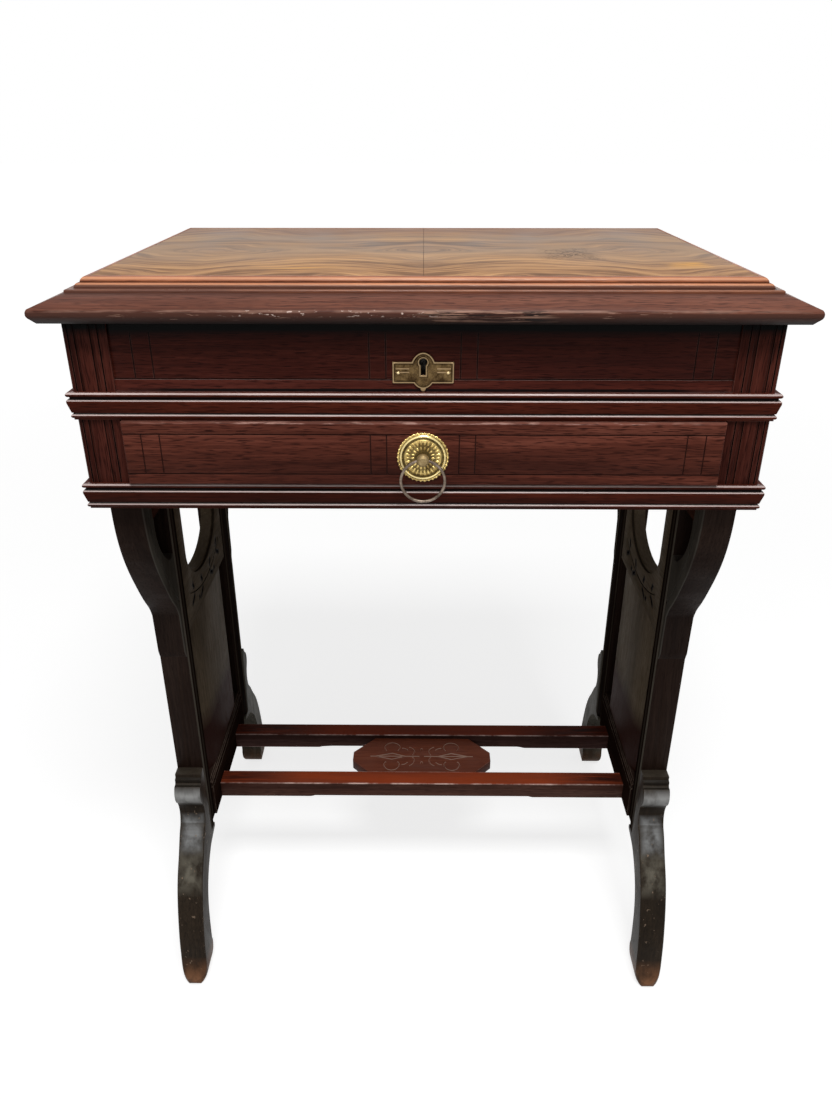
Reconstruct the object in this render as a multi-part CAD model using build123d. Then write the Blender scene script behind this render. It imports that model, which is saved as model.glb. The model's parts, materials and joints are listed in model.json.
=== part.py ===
import math
import os
from build123d import *

# Sewing table with a lift-up lid, one drawer and two trestle ends.
# Millimetres. Z up, floor at zero, X to the right, the front looks along -Y.

# Case
case_width = 539.0
case_depth = 359.4
case_floor = 560.0
moulding_height = 22.0
drawer_opening = 53.0
well_wall = 54.0
post_size = 33.0
board = 14.0
panel_recess = 2.0
tongue = 6.0
tongue_thickness = 6.0
floor_board = 8.0
dado = 4.0
moulding_projection = 4.7

# Reeds cut in the outer faces of the posts: distance from the corner, width
reed_grooves = ((3.6, 0.9), (8.9, 2.2), (21.3, 2.8), (26.2, 0.9))
reed_depth = 1.4
corner_ease = 0.9

# Incised lines on the fixed front panel and the drawer front
line_width = 1.0
line_depth = 0.8
line_places = (28.4, 41.0, 205.6, 220.0)
panel_strip = 9.0
drawer_strip = 9.5

# Lid
lid_overhang = 17.4
cornice_thickness = 19.0
cornice_width = 82.0
bevel_width = 20.7
bevel_drop = 8.0
nose_drop = 14.5
nose_set_back = 5.0
nose_round = 1.3
top_thickness = 10.0
top_moulding_width = 15.0
core_thickness = 14.0

# Drawer
drawer_proud = 6.6
drawer_front_thickness = 18.0
drawer_side_gap = 1.5
drawer_height_gap = 0.6
drawer_side = 10.0
drawer_side_set_in = 2.5
drawer_side_height = 45.0
drawer_bottom_thickness = 5.0
drawer_bottom_lift = 5.0
drawer_bottom_groove = 5.0
dovetail_depth = 10.0
dovetail_count = 3
dovetail_width = 8.0
dovetail_flare = 1.6
guide_clearance = 0.5
guide_height = 20.0
runner_width = 32.0
front_edge_round = 2.0

# Ring pull
rosette_radius = 21.0
rosette_rim = 1.2
rosette_dome = 3.0
scallops = 36
scallop_radius = 1.5
bead_ring_radius = 17.4
bead_wire = 0.9
post_neck = 3.2
post_head = 5.2
post_shank = 2.5
post_eye = 2.1
eye_reach = 7.6
ring_radius = 17.3
ring_wire = 1.2
nut_size = 5.0
nut_thickness = 3.5
pull_drop = 1.8
fit = 0.05

# Lock
lock_width = 44.0
lock_height = 48.0
lock_thickness = 12.0
lock_inset = 6.0
lock_wall = 1.5
keyhole_radius = 3.0
keyhole_slot = 3.6
keyhole_slot_drop = 9.8
keyhole_height = 22.6
bolt_length = 17.0
bolt_thickness = 4.0
bolt_height = 5.0
bolt_travel = 8.0
eye_thickness = 3.0
eye_wall = 1.2
eye_clearance = 0.6
staple_plate = 1.5
staple_width = 36.0
staple_depth = 17.0
escutcheon_thickness = 1.2
escutcheon_span = 47.0
escutcheon_arm = 16.6
escutcheon_oval_width = 20.0
escutcheon_oval_height = 28.0
escutcheon_drop = 2.0
pin_spacing = 38.0
pin_shank = 0.6
pin_head = 1.3
pin_length = 7.0

# Hinges
hinge_place = 170.0
hinge_length = 50.0
leaf_depth = 13.0
leaf_thickness = 1.6
knuckle_radius = 3.2
knuckle_gap = 0.3
knuckle_clearance = 0.5
hinge_pin = 1.6
hinge_stand_off = 3.3
screw_shank = 1.1
screw_head = 2.4
screw_length = 8.5
screw_slot = 0.6
screw_sink = 0.1

# Trestle ends
end_inset = 10.0
end_thickness = 27.0
stile_depth = 27.0
stile_set_back = 69.7
stile_strip = 10.0
stile_step = 2.5
rail_bottom = 138.0
rail_height = 50.0
arched_rail_bottom = 382.0
arched_rail_thickness = 14.5
arch_width = 120.0
arch_bottom = 420.0
arch_rise = 38.0
arch_border = 3.0
arch_border_depth = 2.5
panel_thickness = 5.0
panel_set_back = 12.0
field_width = 108.0
field_gap = 2.0
cleat_height = 24.0
cleat_lap = 40.0
tenon_length = 12.0
tenon_thickness = 9.0

# Carved vine under the arch
stem_drop = 21.0
stem_rise = 17.0
stem_reach = 66.0
stem_width = 1.4
leaf_places = (17.0, 50.0)
leaf_length = 12.5
bud_length = 7.7
leaf_width = 2.3
carve_depth = 1.3
dot_radius = 1.3
dot_place = 34.0

# Brackets
bracket_reach = 60.5
bracket_tail = 192.0
tail_thickness = 3.0
bracket_band = 22.0
bracket_line = 10.0
bracket_line_width = 1.6
pocket_depth = 14.0
pocket_height = 55.0

# Feet
toe_reach = 88.3
foot_ease = 1.0
sole_round = 7.5
sole_round_height = 18.0
toe_round = 9.0
collar_height = 90.0
collar_shelf = 11.0
collar_bulge = 22.5
foot_tail = 14.0
tail_height = 4.5
dowel_radius = 4.0
dowel_length = 28.0
dowel_places = (26.0, 62.0)

# Stretchers and plaque
stretcher_depth = 21.0
stretcher_height = 20.0
stretcher_spread = 88.0
stretcher_tenon = 10.0
stretcher_relief = 2.0
relief_length = 260.0
plaque_length = 166.0
plaque_seat = 116.0
plaque_end = 15.0
plaque_thickness = 12.0
plaque_drop = 5.5
plaque_tongue = 4.0
incised_width = 1.3
incised_depth = 0.7

cleat_screw_place = 45.0
cleat_screw_shank = 2.2
cleat_screw_head = 4.2
cleat_screw_bite = 5.0

# Levels and half sizes that follow from the values above
half_case = case_width / 2
case_face = case_depth / 2
opening_bottom = case_floor + moulding_height
opening_top = opening_bottom + drawer_opening
well_bottom = opening_top + moulding_height
case_top = well_bottom + well_wall
cornice_top = case_top + cornice_thickness
lid_top = cornice_top + top_thickness
half_lid = half_case + lid_overhang
lid_face = case_face + lid_overhang
top_inset = nose_round + bevel_width + top_moulding_width
half_top = half_lid - top_inset
top_face = lid_face - top_inset
post_inner_x = half_case - post_size
post_inner_y = case_face - post_size
board_face = case_face - panel_recess
board_back = board_face - board
side_outer = half_case - panel_recess
side_inner = side_outer - board
back_inner = case_face - board
well_floor_top = opening_top + floor_board
runner_bottom = case_floor + floor_board
outer_x = half_case - end_inset
inner_x = outer_x - end_thickness
stile_face = case_face - stile_set_back
stile_back = stile_face - stile_depth
rail_top = rail_bottom + rail_height
cleat_bottom = case_floor - cleat_height
cleat_reach = stile_face + cleat_lap
mid_x = inner_x + end_thickness / 2
drawer_face = case_face + drawer_proud
drawer_front_back = drawer_face - drawer_front_thickness
half_drawer = post_inner_x - drawer_side_gap
drawer_side_outer = half_drawer - drawer_side_set_in
drawer_side_inner = drawer_side_outer - drawer_side
pull_height = opening_bottom + drawer_opening / 2 - pull_drop
eye_y = -drawer_face - eye_reach
lock_back = board_back + lock_inset
lock_front = lock_back - lock_thickness
key_z = well_bottom + keyhole_height
hinge_y = case_face + hinge_stand_off


def block(x0, x1, y0, y1, z0, z1):
    centre = Pos((x0 + x1) / 2, (y0 + y1) / 2, (z0 + z1) / 2)
    return centre * Box(abs(x1 - x0), abs(y1 - y0), abs(z1 - z0))


def outline(*lines):
    return make_face([edge for line in lines for edge in line.edges()])


def along_x(face, x0, x1):
    return extrude(Plane.YZ.offset(x0) * face, x1 - x0)


def along_y(face, y0, y1):
    return extrude(Plane.XZ.offset(-y1) * face, y1 - y0)


def along_z(face, z0, z1):
    return extrude(Plane.XY.offset(z0) * face, z1 - z0)


def rod_y(x, z, radius, y0, y1):
    return along_y(Pos(x, z) * Circle(radius), y0, y1)


def rod_z(x, y, radius, z0, z1):
    return along_z(Pos(x, y) * Circle(radius), z0, z1)


def flip_x(shape):
    return mirror(shape, about=Plane.YZ)


def flip_y(shape):
    return mirror(shape, about=Plane.XZ)


def group(*shapes):
    return Compound(children=[solid for shape in shapes for solid in shape.solids()])


def save(name, shape):
    export_step(shape, "parts/" + name + ".step")


def mitred_bar(section, half_length, near, far, z0, z1, square_end=False):
    # A length of moulding along X in front of the origin, mitred at 45 degrees.
    reach = half_length + far - near
    bar = along_x(section, -reach, reach)
    left_far = half_length if square_end else reach
    plan = Polyline((-half_length, -near), (half_length, -near), (reach, -far), (-left_far, -far),
                    close=True)
    return bar & along_z(outline(plan), z0, z1)


# Case carcass


def reeded_post():
    x0, x1 = post_inner_x, half_case
    post = block(x0, x1, -case_face, -post_inner_y, case_floor, case_top)
    upright = post.edges().filter_by(Axis.Z).sort_by(lambda e: e.center().X - e.center().Y)[-1]
    post = chamfer(upright, corner_ease)
    for place, width in reed_grooves:
        half = width / 2
        across = half_case - place
        back = case_face - place
        post -= block(across - half, across + half, -case_face - 1, -case_face + reed_depth, case_floor,
                      case_top)
        post -= block(half_case - reed_depth, half_case + 1, -back - half, -back + half, case_floor,
                      case_top)
    return post


def tongue_block_x(x0, z0, z1, face):
    # A tongue that enters the post from the side, set in the middle of a board.
    middle = face + board / 2
    half = tongue_thickness / 2
    return block(x0, x0 + tongue, middle - half, middle + half, z0, z1)


def tongue_block_y():
    middle = side_outer - board / 2
    half = tongue_thickness / 2
    return block(middle - half, middle + half, -post_inner_y - tongue, -post_inner_y, case_floor, case_top)


def front_post():
    post = reeded_post() - tongue_block_y()
    post -= tongue_block_x(post_inner_x, opening_top, case_top, -board_face)
    post -= tongue_block_x(post_inner_x, case_floor, opening_bottom, -board_face)
    return post


def back_post():
    post = flip_y(reeded_post() - tongue_block_y())
    return post - tongue_block_x(post_inner_x, case_floor, case_top, back_inner)


def keyhole(y0, y1):
    hole = rod_y(0, key_z, keyhole_radius, y0, y1)
    half = keyhole_slot / 2
    return hole + block(-half, half, y0, y1, key_z - keyhole_slot_drop, key_z)


def incised_pairs(face_y, z0, z1):
    half = line_width / 2
    cuts = []
    for place in line_places:
        for x in (-place, place):
            cuts.append(block(x - half, x + half, face_y - 1, face_y + line_depth, z0, z1))
    return cuts


def front_panel():
    panel = block(-post_inner_x, post_inner_x, -board_face, -board_back, opening_top, case_top)
    panel += block(-post_inner_x, post_inner_x, -case_face, -board_face, opening_top, well_bottom)
    arm = tongue_block_x(post_inner_x, opening_top, case_top, -board_face)
    panel += [arm, flip_x(arm)]
    strip_z = well_bottom + panel_strip
    panel -= block(-post_inner_x, post_inner_x, -board_face - 1, -board_face + line_depth,
                   strip_z, strip_z + line_width)
    panel -= incised_pairs(-board_face, strip_z + line_width, case_top - panel_strip)
    half = lock_width / 2
    panel -= block(-half, half, -lock_back, -board_back, case_top - lock_height, case_top)
    panel -= keyhole(-board_face - 1, -lock_back + 1)
    for x in (-pin_spacing / 2, pin_spacing / 2):
        panel -= rod_y(x, key_z - keyhole_slot_drop + 2, pin_shank + fit, -board_face - 1,
                       -board_face + pin_length)
    return panel


def front_rail():
    rail = block(-post_inner_x, post_inner_x, -case_face, -board_back, case_floor, opening_bottom)
    arm = tongue_block_x(post_inner_x, case_floor, opening_bottom, -board_face)
    return rail + [arm, flip_x(arm)]


def side_board():
    # Thicker where the mouldings are planted, recessed between them, grooved for the two floors.
    face = outline(Polyline(
        (side_inner, case_floor), (half_case, case_floor), (half_case, opening_bottom),
        (side_outer, opening_bottom), (side_outer, opening_top), (half_case, opening_top),
        (half_case, well_bottom), (side_outer, well_bottom), (side_outer, case_top),
        (side_inner, case_top), close=True))
    side = along_y(face, -post_inner_y, post_inner_y)
    strip_z = well_bottom + panel_strip
    side -= block(side_outer - line_depth, half_case, -post_inner_y, post_inner_y, strip_z,
                  strip_z + line_width)
    side -= block(side_inner, side_inner + dado, -post_inner_y, post_inner_y, opening_top, well_floor_top)
    side -= block(side_inner, side_inner + dado, -post_inner_y, post_inner_y, case_floor, runner_bottom)
    return side + [tongue_block_y(), flip_y(tongue_block_y())]


def back_board():
    back = block(-post_inner_x, post_inner_x, back_inner, case_face, case_floor, case_top)
    arm = tongue_block_x(post_inner_x, case_floor, case_top, back_inner)
    back += [arm, flip_x(arm)]
    for x in (-hinge_place, hinge_place):
        half = hinge_length / 2
        back -= block(x - half, x + half, case_face - leaf_depth, case_face, case_top - leaf_thickness,
                      case_top)
        for place in screw_places(x):
            back -= rod_z(place, case_face - leaf_depth / 2, screw_shank + fit,
                          case_top - screw_length - 0.5, case_top)
    return back


def floor_shape(z0, z1):
    reach = side_inner + dado
    floor = block(-reach, reach, -post_inner_y, post_inner_y, z0, z1)
    return floor + block(-post_inner_x, post_inner_x, -board_back, back_inner, z0, z1)


def bottom_board():
    floor = floor_shape(case_floor, runner_bottom)
    for x in (-mid_x, mid_x):
        for y in (-cleat_screw_place, cleat_screw_place):
            floor -= rod_z(x, y, cleat_screw_shank + fit, case_floor, case_floor + cleat_screw_bite)
    return floor


def drawer_runner():
    lip_x = drawer_side_outer + guide_clearance
    foot_x = side_inner - runner_width
    face = outline(Polyline(
        (foot_x, runner_bottom), (side_inner, runner_bottom), (side_inner, opening_bottom + guide_height),
        (lip_x, opening_bottom + guide_height), (lip_x, opening_bottom), (foot_x, opening_bottom),
        close=True))
    return along_y(face, -post_inner_y, post_inner_y)


# Mouldings planted on the case


def case_moulding_section(z0):
    # Bead, quirk, rounded fillet, leaning fascia and a small lower bead.
    face = -case_face
    out = face - moulding_projection
    z1 = z0 + moulding_height
    top = Line((face, z1), (out + 1.4, z1))
    bead = ThreePointArc((out + 1.4, z1), (out, z1 - 1.8), (out + 1.4, z1 - 3.6))
    quirk = Polyline((out + 1.4, z1 - 3.6), (out + 2.2, z1 - 3.6), (out + 2.2, z1 - 5.6),
                     (out + 0.7, z1 - 5.6))
    ledge = ThreePointArc((out + 0.7, z1 - 5.6), (out, z1 - 6.6), (out, z1 - 8.0))
    fascia = Polyline((out, z1 - 8.0), (out + 2.0, z1 - 16.2), (out + 2.9, z1 - 16.2),
                      (out + 2.9, z1 - 17.2))
    low = ThreePointArc((out + 2.9, z1 - 17.2), (out + 1.3, z1 - 18.9), (out + 2.9, z1 - 20.6))
    back = Polyline((out + 2.9, z1 - 20.6), (out + 2.9, z0), (face, z0), (face, z1))
    return outline(top, bead, quirk, ledge, fascia, low, back)


def case_moulding_front(z0):
    near = case_face
    return mitred_bar(case_moulding_section(z0), half_case, near, near + moulding_projection, z0,
                      z0 + moulding_height)


def case_moulding_sides(z0):
    shift = half_case - case_face
    section = Pos(-shift, 0) * case_moulding_section(z0)
    near = half_case
    bar = mitred_bar(section, case_face, near, near + moulding_projection, z0, z0 + moulding_height, True)
    left = Rot(0, 0, -90) * bar
    return group(left, flip_x(left))


# Lid


def cornice_section(face):
    # face is the lid's outer edge, as a distance from the centre; the lid lies towards zero.
    inner = -(face - cornice_width)
    nose = -face
    z1 = cornice_top
    groove = cornice_top - core_thickness / 2
    lines = (
        Polyline((inner, case_top), (nose + nose_set_back, case_top), (nose + 0.9, z1 - nose_drop)),
        ThreePointArc((nose + 0.9, z1 - nose_drop), (nose, z1 - bevel_drop - 2.6),
                      (nose + nose_round, z1 - bevel_drop)),
        Polyline((nose + nose_round, z1 - bevel_drop), (nose + nose_round + bevel_width, z1), (inner, z1),
                 (inner, groove + tongue_thickness / 2), (inner - tongue, groove + tongue_thickness / 2),
                 (inner - tongue, groove - tongue_thickness / 2), (inner, groove - tongue_thickness / 2),
                 (inner, case_top)))
    return outline(*lines)


def top_moulding_section(face):
    # Two ovolo bands, a quirk and a rounded fillet that stands on the cornice.
    inner = -(face - top_inset)
    z0, z1 = cornice_top, lid_top
    out = inner - top_moulding_width
    lines = (
        Line((inner, z0), (inner, z1)),
        ThreePointArc((inner, z1), (inner - 3.9, z1 - 0.8), (inner - 5.5, z1 - 3.2)),
        Line((inner - 5.5, z1 - 3.2), (inner - 5.5, z1 - 4.0)),
        ThreePointArc((inner - 5.5, z1 - 4.0), (inner - 8.2, z1 - 4.9), (inner - 9.2, z1 - 7.0)),
        Polyline((inner - 9.2, z1 - 7.0), (inner - 9.2, z0 + 1.6), (inner - 10.4, z0 + 1.6),
                 (inner - 10.4, z0 + 2.3),
                 (out + 1.4, z0 + 2.3)),
        ThreePointArc((out + 1.4, z0 + 2.3), (out + 0.4, z0 + 1.9), (out, z0 + 0.9)),
        Polyline((out, z0 + 0.9), (out, z0), (inner, z0)))
    return outline(*lines)


def four_bars(section, near_offset, far_offset, z0, z1):
    # near_offset and far_offset are measured inwards from the lid's outer edge.
    front = mitred_bar(section(lid_face), half_lid - near_offset, lid_face - near_offset,
                       lid_face - far_offset, z0, z1)
    side = mitred_bar(section(half_lid), lid_face - near_offset, half_lid - near_offset,
                      half_lid - far_offset, z0, z1)
    left = Rot(0, 0, -90) * side
    return front, flip_y(front), left, flip_x(left)


def hinge_notch(x):
    half = hinge_length / 2 + knuckle_gap
    reach = knuckle_radius + knuckle_clearance
    notch = block(x - half, x + half, hinge_y - reach, hinge_y + reach, case_top, case_top + reach)
    return notch + block(x - hinge_length / 2, x + hinge_length / 2, case_face - leaf_depth, hinge_y,
                         case_top, case_top + leaf_thickness)


def lid_cornice():
    front, back, left, right = four_bars(cornice_section, cornice_width, 0, case_top, cornice_top)
    for x in (-hinge_place, hinge_place):
        back -= hinge_notch(x)
        for place in screw_places(x):
            back -= rod_z(place, case_face - leaf_depth / 2, screw_shank + fit, case_top,
                          case_top + screw_length + 0.5)
    half = staple_width / 2
    front -= block(-half, half, staple_y() - staple_depth / 2, staple_y() + staple_depth / 2,
                   case_top, case_top + staple_plate)
    return group(front, back, left, right)


def lid_top_moulding():
    return group(*four_bars(top_moulding_section, top_inset, top_inset - top_moulding_width, cornice_top,
                            lid_top))


def lid_core():
    x, y = half_lid - cornice_width, lid_face - cornice_width
    middle = cornice_top - core_thickness / 2
    core = block(-x, x, -y, y, cornice_top - core_thickness, cornice_top)
    half = tongue_thickness / 2
    return core + block(-x - tongue, x + tongue, -y - tongue, y + tongue, middle - half, middle + half)


def lid_top_half():
    return block(0, half_top, -top_face, top_face, cornice_top, lid_top)


# Hinges


def screw_places(x):
    return (x - hinge_length * 0.36, x, x + hinge_length * 0.36)


def knuckles():
    third = hinge_length / 3
    return ((-hinge_length / 2, -third / 2 - knuckle_gap), (-third / 2, third / 2),
            (third / 2 + knuckle_gap, hinge_length / 2))


def hinge_leaf(x, z0, z1, mine, other):
    leaf = block(x - hinge_length / 2, x + hinge_length / 2, case_face - leaf_depth, hinge_y, z0, z1)
    for x0, x1 in mine:
        leaf += along_x(Pos(hinge_y, case_top) * Circle(knuckle_radius), x + x0, x + x1)
    clear = knuckle_radius + knuckle_clearance
    for x0, x1 in other:
        leaf -= block(x + x0 - knuckle_gap, x + x1 + knuckle_gap, hinge_y - clear, hinge_y + clear,
                      case_top - clear, case_top + clear)
    return leaf - along_x(Pos(hinge_y, case_top) * Circle(hinge_pin + fit), x - hinge_length,
                          x + hinge_length)


def countersunk(x, y, z, down, shank, head, length):
    # Screw whose flat head is at z; down is -1 when it points to the floor.
    cone = head - shank
    profile = Polyline((0, 0), (head, 0), (shank, cone), (shank, length - shank), (0, length), close=True)
    screw = revolve(Plane.XZ * outline(profile), Axis.Z)
    half = screw_slot / 2
    screw -= block(-half, half, -head, head, 0, cone / 2)
    turn = 180 if down < 0 else 0
    return Pos(x, y, z) * Rot(turn, 0, 0) * screw


def hinge_parts():
    outer, middle, inner = knuckles()
    case_leaves, lid_leaves, pins, case_screws, lid_screws = [], [], [], [], []
    y = case_face - leaf_depth / 2
    for x in (-hinge_place, hinge_place):
        low = hinge_leaf(x, case_top - leaf_thickness, case_top, (outer, inner), (middle,))
        high = hinge_leaf(x, case_top, case_top + leaf_thickness, (middle,), (outer, inner))
        for place in screw_places(x):
            seat = countersunk(place, y, case_top, -1, screw_shank + fit, screw_head + fit + screw_sink,
                               screw_length)
            low -= seat
            high -= flip_z(seat)
            screw = countersunk(place, y, case_top - screw_sink, -1, screw_shank, screw_head, screw_length)
            case_screws.append(screw)
            lid_screws.append(flip_z(screw))
        case_leaves.append(low)
        lid_leaves.append(high)
        half = hinge_length / 2
        pins.append(along_x(Pos(hinge_y, case_top) * Circle(hinge_pin), x - half, x + half))
    return group(*case_leaves), group(*lid_leaves), group(*pins), group(*case_screws), group(*lid_screws)


def flip_z(shape):
    return mirror(shape, about=Plane.XY.offset(case_top))


# Lock


def staple_y():
    return -lock_back + lock_thickness / 2


def bolt_z():
    return case_top - lock_wall * 2 - bolt_height - 9


def eye_x():
    return bolt_length / 2 - 3


def lock_case():
    half = lock_width / 2
    body = block(-half, half, -lock_back, -lock_front, case_top - lock_height, case_top)
    y0, y1 = -lock_back + lock_wall, -lock_front - lock_wall
    z0 = bolt_z()
    tip = bolt_tip()
    body -= block(tip - bolt_length - lock_wall, tip + bolt_travel + lock_wall, y0, y1, z0,
                  case_top - lock_wall)
    x0 = eye_x() - eye_clearance
    x1 = eye_x() + eye_thickness + eye_clearance
    body -= block(x0, x1, y0, y1, z0 - eye_wall * 2 - eye_clearance * 2, case_top)
    return body - keyhole(-lock_back - 1, -lock_front - lock_wall * 2)


def bolt_tip():
    # The bolt is drawn back, clear of the staple.
    return eye_x() - eye_clearance * 2


def lock_bolt():
    y = staple_y()
    half = bolt_thickness / 2
    x1 = bolt_tip()
    bolt = block(x1 - bolt_length, x1, y - half, y + half, bolt_z(), bolt_z() + bolt_height)
    return chamfer(bolt.faces().sort_by(Axis.X)[-1].edges().filter_by(Axis.Y), 0.6)


def lock_staple():
    y = staple_y()
    half = staple_width / 2
    plate = block(-half, half, y - staple_depth / 2, y + staple_depth / 2, case_top,
                  case_top + staple_plate)
    gap = bolt_thickness / 2 + eye_clearance
    z0 = bolt_z() - eye_clearance
    z1 = bolt_z() + bolt_height + eye_clearance
    x0, x1 = eye_x(), eye_x() + eye_thickness
    hasp = block(x0, x1, y - gap - eye_wall, y + gap + eye_wall, z0 - eye_wall, case_top + staple_plate)
    return plate + (hasp - block(x0, x1, y - gap, y + gap, z0, z1))


def escutcheon():
    z = key_z - keyhole_slot_drop + 2
    face = Pos(0, z) * Rectangle(escutcheon_span, escutcheon_arm)
    oval_z = key_z - 6.3
    face += Pos(0, oval_z) * Ellipse(escutcheon_oval_width / 2, escutcheon_oval_height / 2)
    face += Pos(0, oval_z - escutcheon_oval_height / 2) * Circle(escutcheon_drop)
    plate = along_y(face, -board_face - escutcheon_thickness, -board_face)
    for drop in (-2.2, 2.2):
        for side in (-1, 1):
            x = side * escutcheon_span * 0.36
            plate -= block(x - 4.6, x + 4.6, -board_face - 5, -board_face - escutcheon_thickness + 0.4,
                           z + drop - 0.3, z + drop + 0.3)
    for x in (-pin_spacing / 2, pin_spacing / 2):
        plate -= rod_y(x, z, pin_shank + fit, -board_face - 5, -board_face)
    return plate - keyhole(-board_face - 5, -board_face + 1)


def escutcheon_pins():
    z = key_z - keyhole_slot_drop + 2
    seat = -board_face - escutcheon_thickness
    pins = []
    for x in (-pin_spacing / 2, pin_spacing / 2):
        dome = Pos(x, seat, z) * Sphere(pin_head) & block(x - 3, x + 3, seat - 3, seat, z - 3, z + 3)
        pins.append(dome + rod_y(x, z, pin_shank, seat, -board_face + pin_length - 1))
    return group(*pins)


# Drawer


def dovetails(side_x0, side_x1):
    # Tails on the end of the drawer side, wider at the tip, as seen from the side.
    z0 = opening_bottom
    pitch = drawer_side_height / dovetail_count
    y0, y1 = -drawer_front_back - dovetail_depth, -drawer_front_back
    tails = []
    for index in range(dovetail_count):
        z = z0 + pitch * (index + 0.5)
        half = dovetail_width / 2
        wide = half + dovetail_flare
        face = outline(Polyline((y0, z - wide), (y0, z + wide), (y1, z + half), (y1, z - half), close=True))
        tails.append(along_x(face, side_x0, side_x1))
    return tails


def drawer_front():
    z0, z1 = opening_bottom + drawer_height_gap, opening_top - drawer_height_gap
    front = block(-half_drawer, half_drawer, -drawer_face, -drawer_front_back, z0, z1)
    rim = front.faces().sort_by(Axis.Y)[0].edges()
    front = fillet(rim, front_edge_round)
    low, high = z0 + drawer_strip, z1 - drawer_strip
    for z in (low, high):
        front -= block(-half_drawer, half_drawer, -drawer_face - 1, -drawer_face + line_depth,
                       z - line_width / 2, z + line_width / 2)
    front -= incised_pairs(-drawer_face, low, high)
    for tail in dovetails(drawer_side_inner, drawer_side_outer):
        front -= [tail, flip_x(tail)]
    lift = opening_bottom + drawer_bottom_lift
    front -= block(-drawer_side_inner - drawer_bottom_groove, drawer_side_inner + drawer_bottom_groove,
                   -drawer_front_back - drawer_bottom_groove, -drawer_front_back, lift,
                   lift + drawer_bottom_thickness)
    return front - rod_y(0, pull_height, post_shank + fit, -drawer_face - 1, -drawer_front_back)


def drawer_side_right():
    z0 = opening_bottom
    side = block(drawer_side_inner, drawer_side_outer, -drawer_front_back, back_inner, z0,
                 z0 + drawer_side_height)
    side += dovetails(drawer_side_inner, drawer_side_outer)
    lift = z0 + drawer_bottom_lift
    side -= block(drawer_side_inner, drawer_side_inner + drawer_bottom_groove, -drawer_face,
                  back_inner - drawer_side,
                  lift, lift + drawer_bottom_thickness)
    return side - drawer_back_pin()


def drawer_back_pin():
    # Stub of the drawer back let into a dado in each side.
    y1 = back_inner - drawer_side
    z0 = opening_bottom + drawer_bottom_lift + drawer_bottom_thickness
    reach = drawer_side_inner + dado
    return block(-reach, reach, y1 - drawer_side, y1, z0, opening_bottom + drawer_side_height)


def drawer_bottom():
    lift = opening_bottom + drawer_bottom_lift
    reach = drawer_side_inner + drawer_bottom_groove
    return block(-reach, reach, -drawer_front_back - drawer_bottom_groove, back_inner - drawer_side,
                 lift, lift + drawer_bottom_thickness)


def on_pull_axis(profile):
    # Profiles are drawn as radius and distance forward of the drawer front.
    turned = revolve(Plane.XY * outline(*profile), Axis.Y)
    return Pos(0, -drawer_face, pull_height) * Rot(0, 0, 180) * turned


def pull_rosette():
    r = rosette_radius
    profile = (
        Polyline((post_neck + fit, 0), (r, 0), (r, rosette_rim)),
        ThreePointArc((r, rosette_rim), (r * 0.55, rosette_dome * 0.86), (post_neck + fit, rosette_dome)),
        Line((post_neck + fit, rosette_dome), (post_neck + fit, 0)))
    plate = on_pull_axis(profile)
    cuts = []
    for index in range(scallops):
        angle = 2 * math.pi * (index + 0.5) / scallops
        x, z = (r + 0.6) * math.sin(angle), (r + 0.6) * math.cos(angle)
        cuts.append(rod_y(x, pull_height + z, scallop_radius, -drawer_face - 5, -drawer_face + 1))
    plate -= cuts
    lift = rosette_rim + 0.4
    ring = Pos(0, -drawer_face - lift, pull_height) * Rot(90, 0, 0) * Torus(bead_ring_radius, bead_wire)
    return plate + (ring & block(-r, r, -drawer_face - 9, -drawer_face, pull_height - r, pull_height + r))


def pull_post():
    # Threaded shank, neck and a round head with a flat front, bored across for the ring.
    tip = drawer_front_thickness + nut_thickness + 1
    h = post_head
    shoulder = eye_reach - math.sqrt(h * h - post_neck * post_neck)
    flat = h * 0.55
    front = eye_reach + math.sqrt(h * h - flat * flat)
    profile = (
        Polyline((0, -tip), (post_shank, -tip), (post_shank, 0), (post_neck, 0), (post_neck, shoulder)),
        ThreePointArc((post_neck, shoulder), (h, eye_reach), (flat, front)),
        Polyline((flat, front), (0, front), (0, -tip)))
    return on_pull_axis(profile) - along_x(Pos(eye_y, pull_height) * Circle(post_eye), -h * 2, h * 2)


def pull_nut():
    face = Pos(0, pull_height) * (RegularPolygon(nut_size, 6) - Circle(post_shank + fit))
    return along_y(face, -drawer_front_back, -drawer_front_back + nut_thickness)


def pull_ring():
    return Pos(0, eye_y, pull_height - ring_radius) * Rot(90, 0, 0) * Torus(ring_radius, ring_wire)


# Trestle ends, drawn at +X with the front half at negative Y


def stile():
    # Square leg with a raised strip along its outer arris, stepped back towards the panel.
    y0, y1 = -stile_face, -stile_back
    face = outline(Polyline((inner_x, y0), (outer_x, y0), (outer_x, y1), (inner_x + stile_step, y1),
                            (inner_x + stile_step, y0 + stile_strip), (inner_x, y0 + stile_strip),
                            close=True))
    leg = along_z(face, rail_bottom, cleat_bottom)
    leg += end_tenon(cleat_bottom, cleat_bottom + tenon_length)
    leg -= [rail_tenon(), arched_tenon(), panel_tongue()]
    return leg - foot_dowels(dowel_radius + fit)


def end_tenon(z0, z1):
    half = tenon_thickness / 2
    y = -stile_face + stile_depth / 2
    return block(mid_x - half, mid_x + half, y - half, y + half, z0, z1)


def rail_tenon():
    half = tenon_thickness / 2
    return block(mid_x - half, mid_x + half, -stile_back - tenon_length, -stile_back,
                 rail_bottom + tenon_thickness, rail_top - tenon_thickness)


def arched_tenon():
    x0 = inner_x + stile_step + 3
    return block(x0, x0 + tenon_thickness, -stile_back - tenon_length / 2, -stile_back,
                 arched_rail_bottom + tenon_thickness, cleat_bottom)


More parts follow.
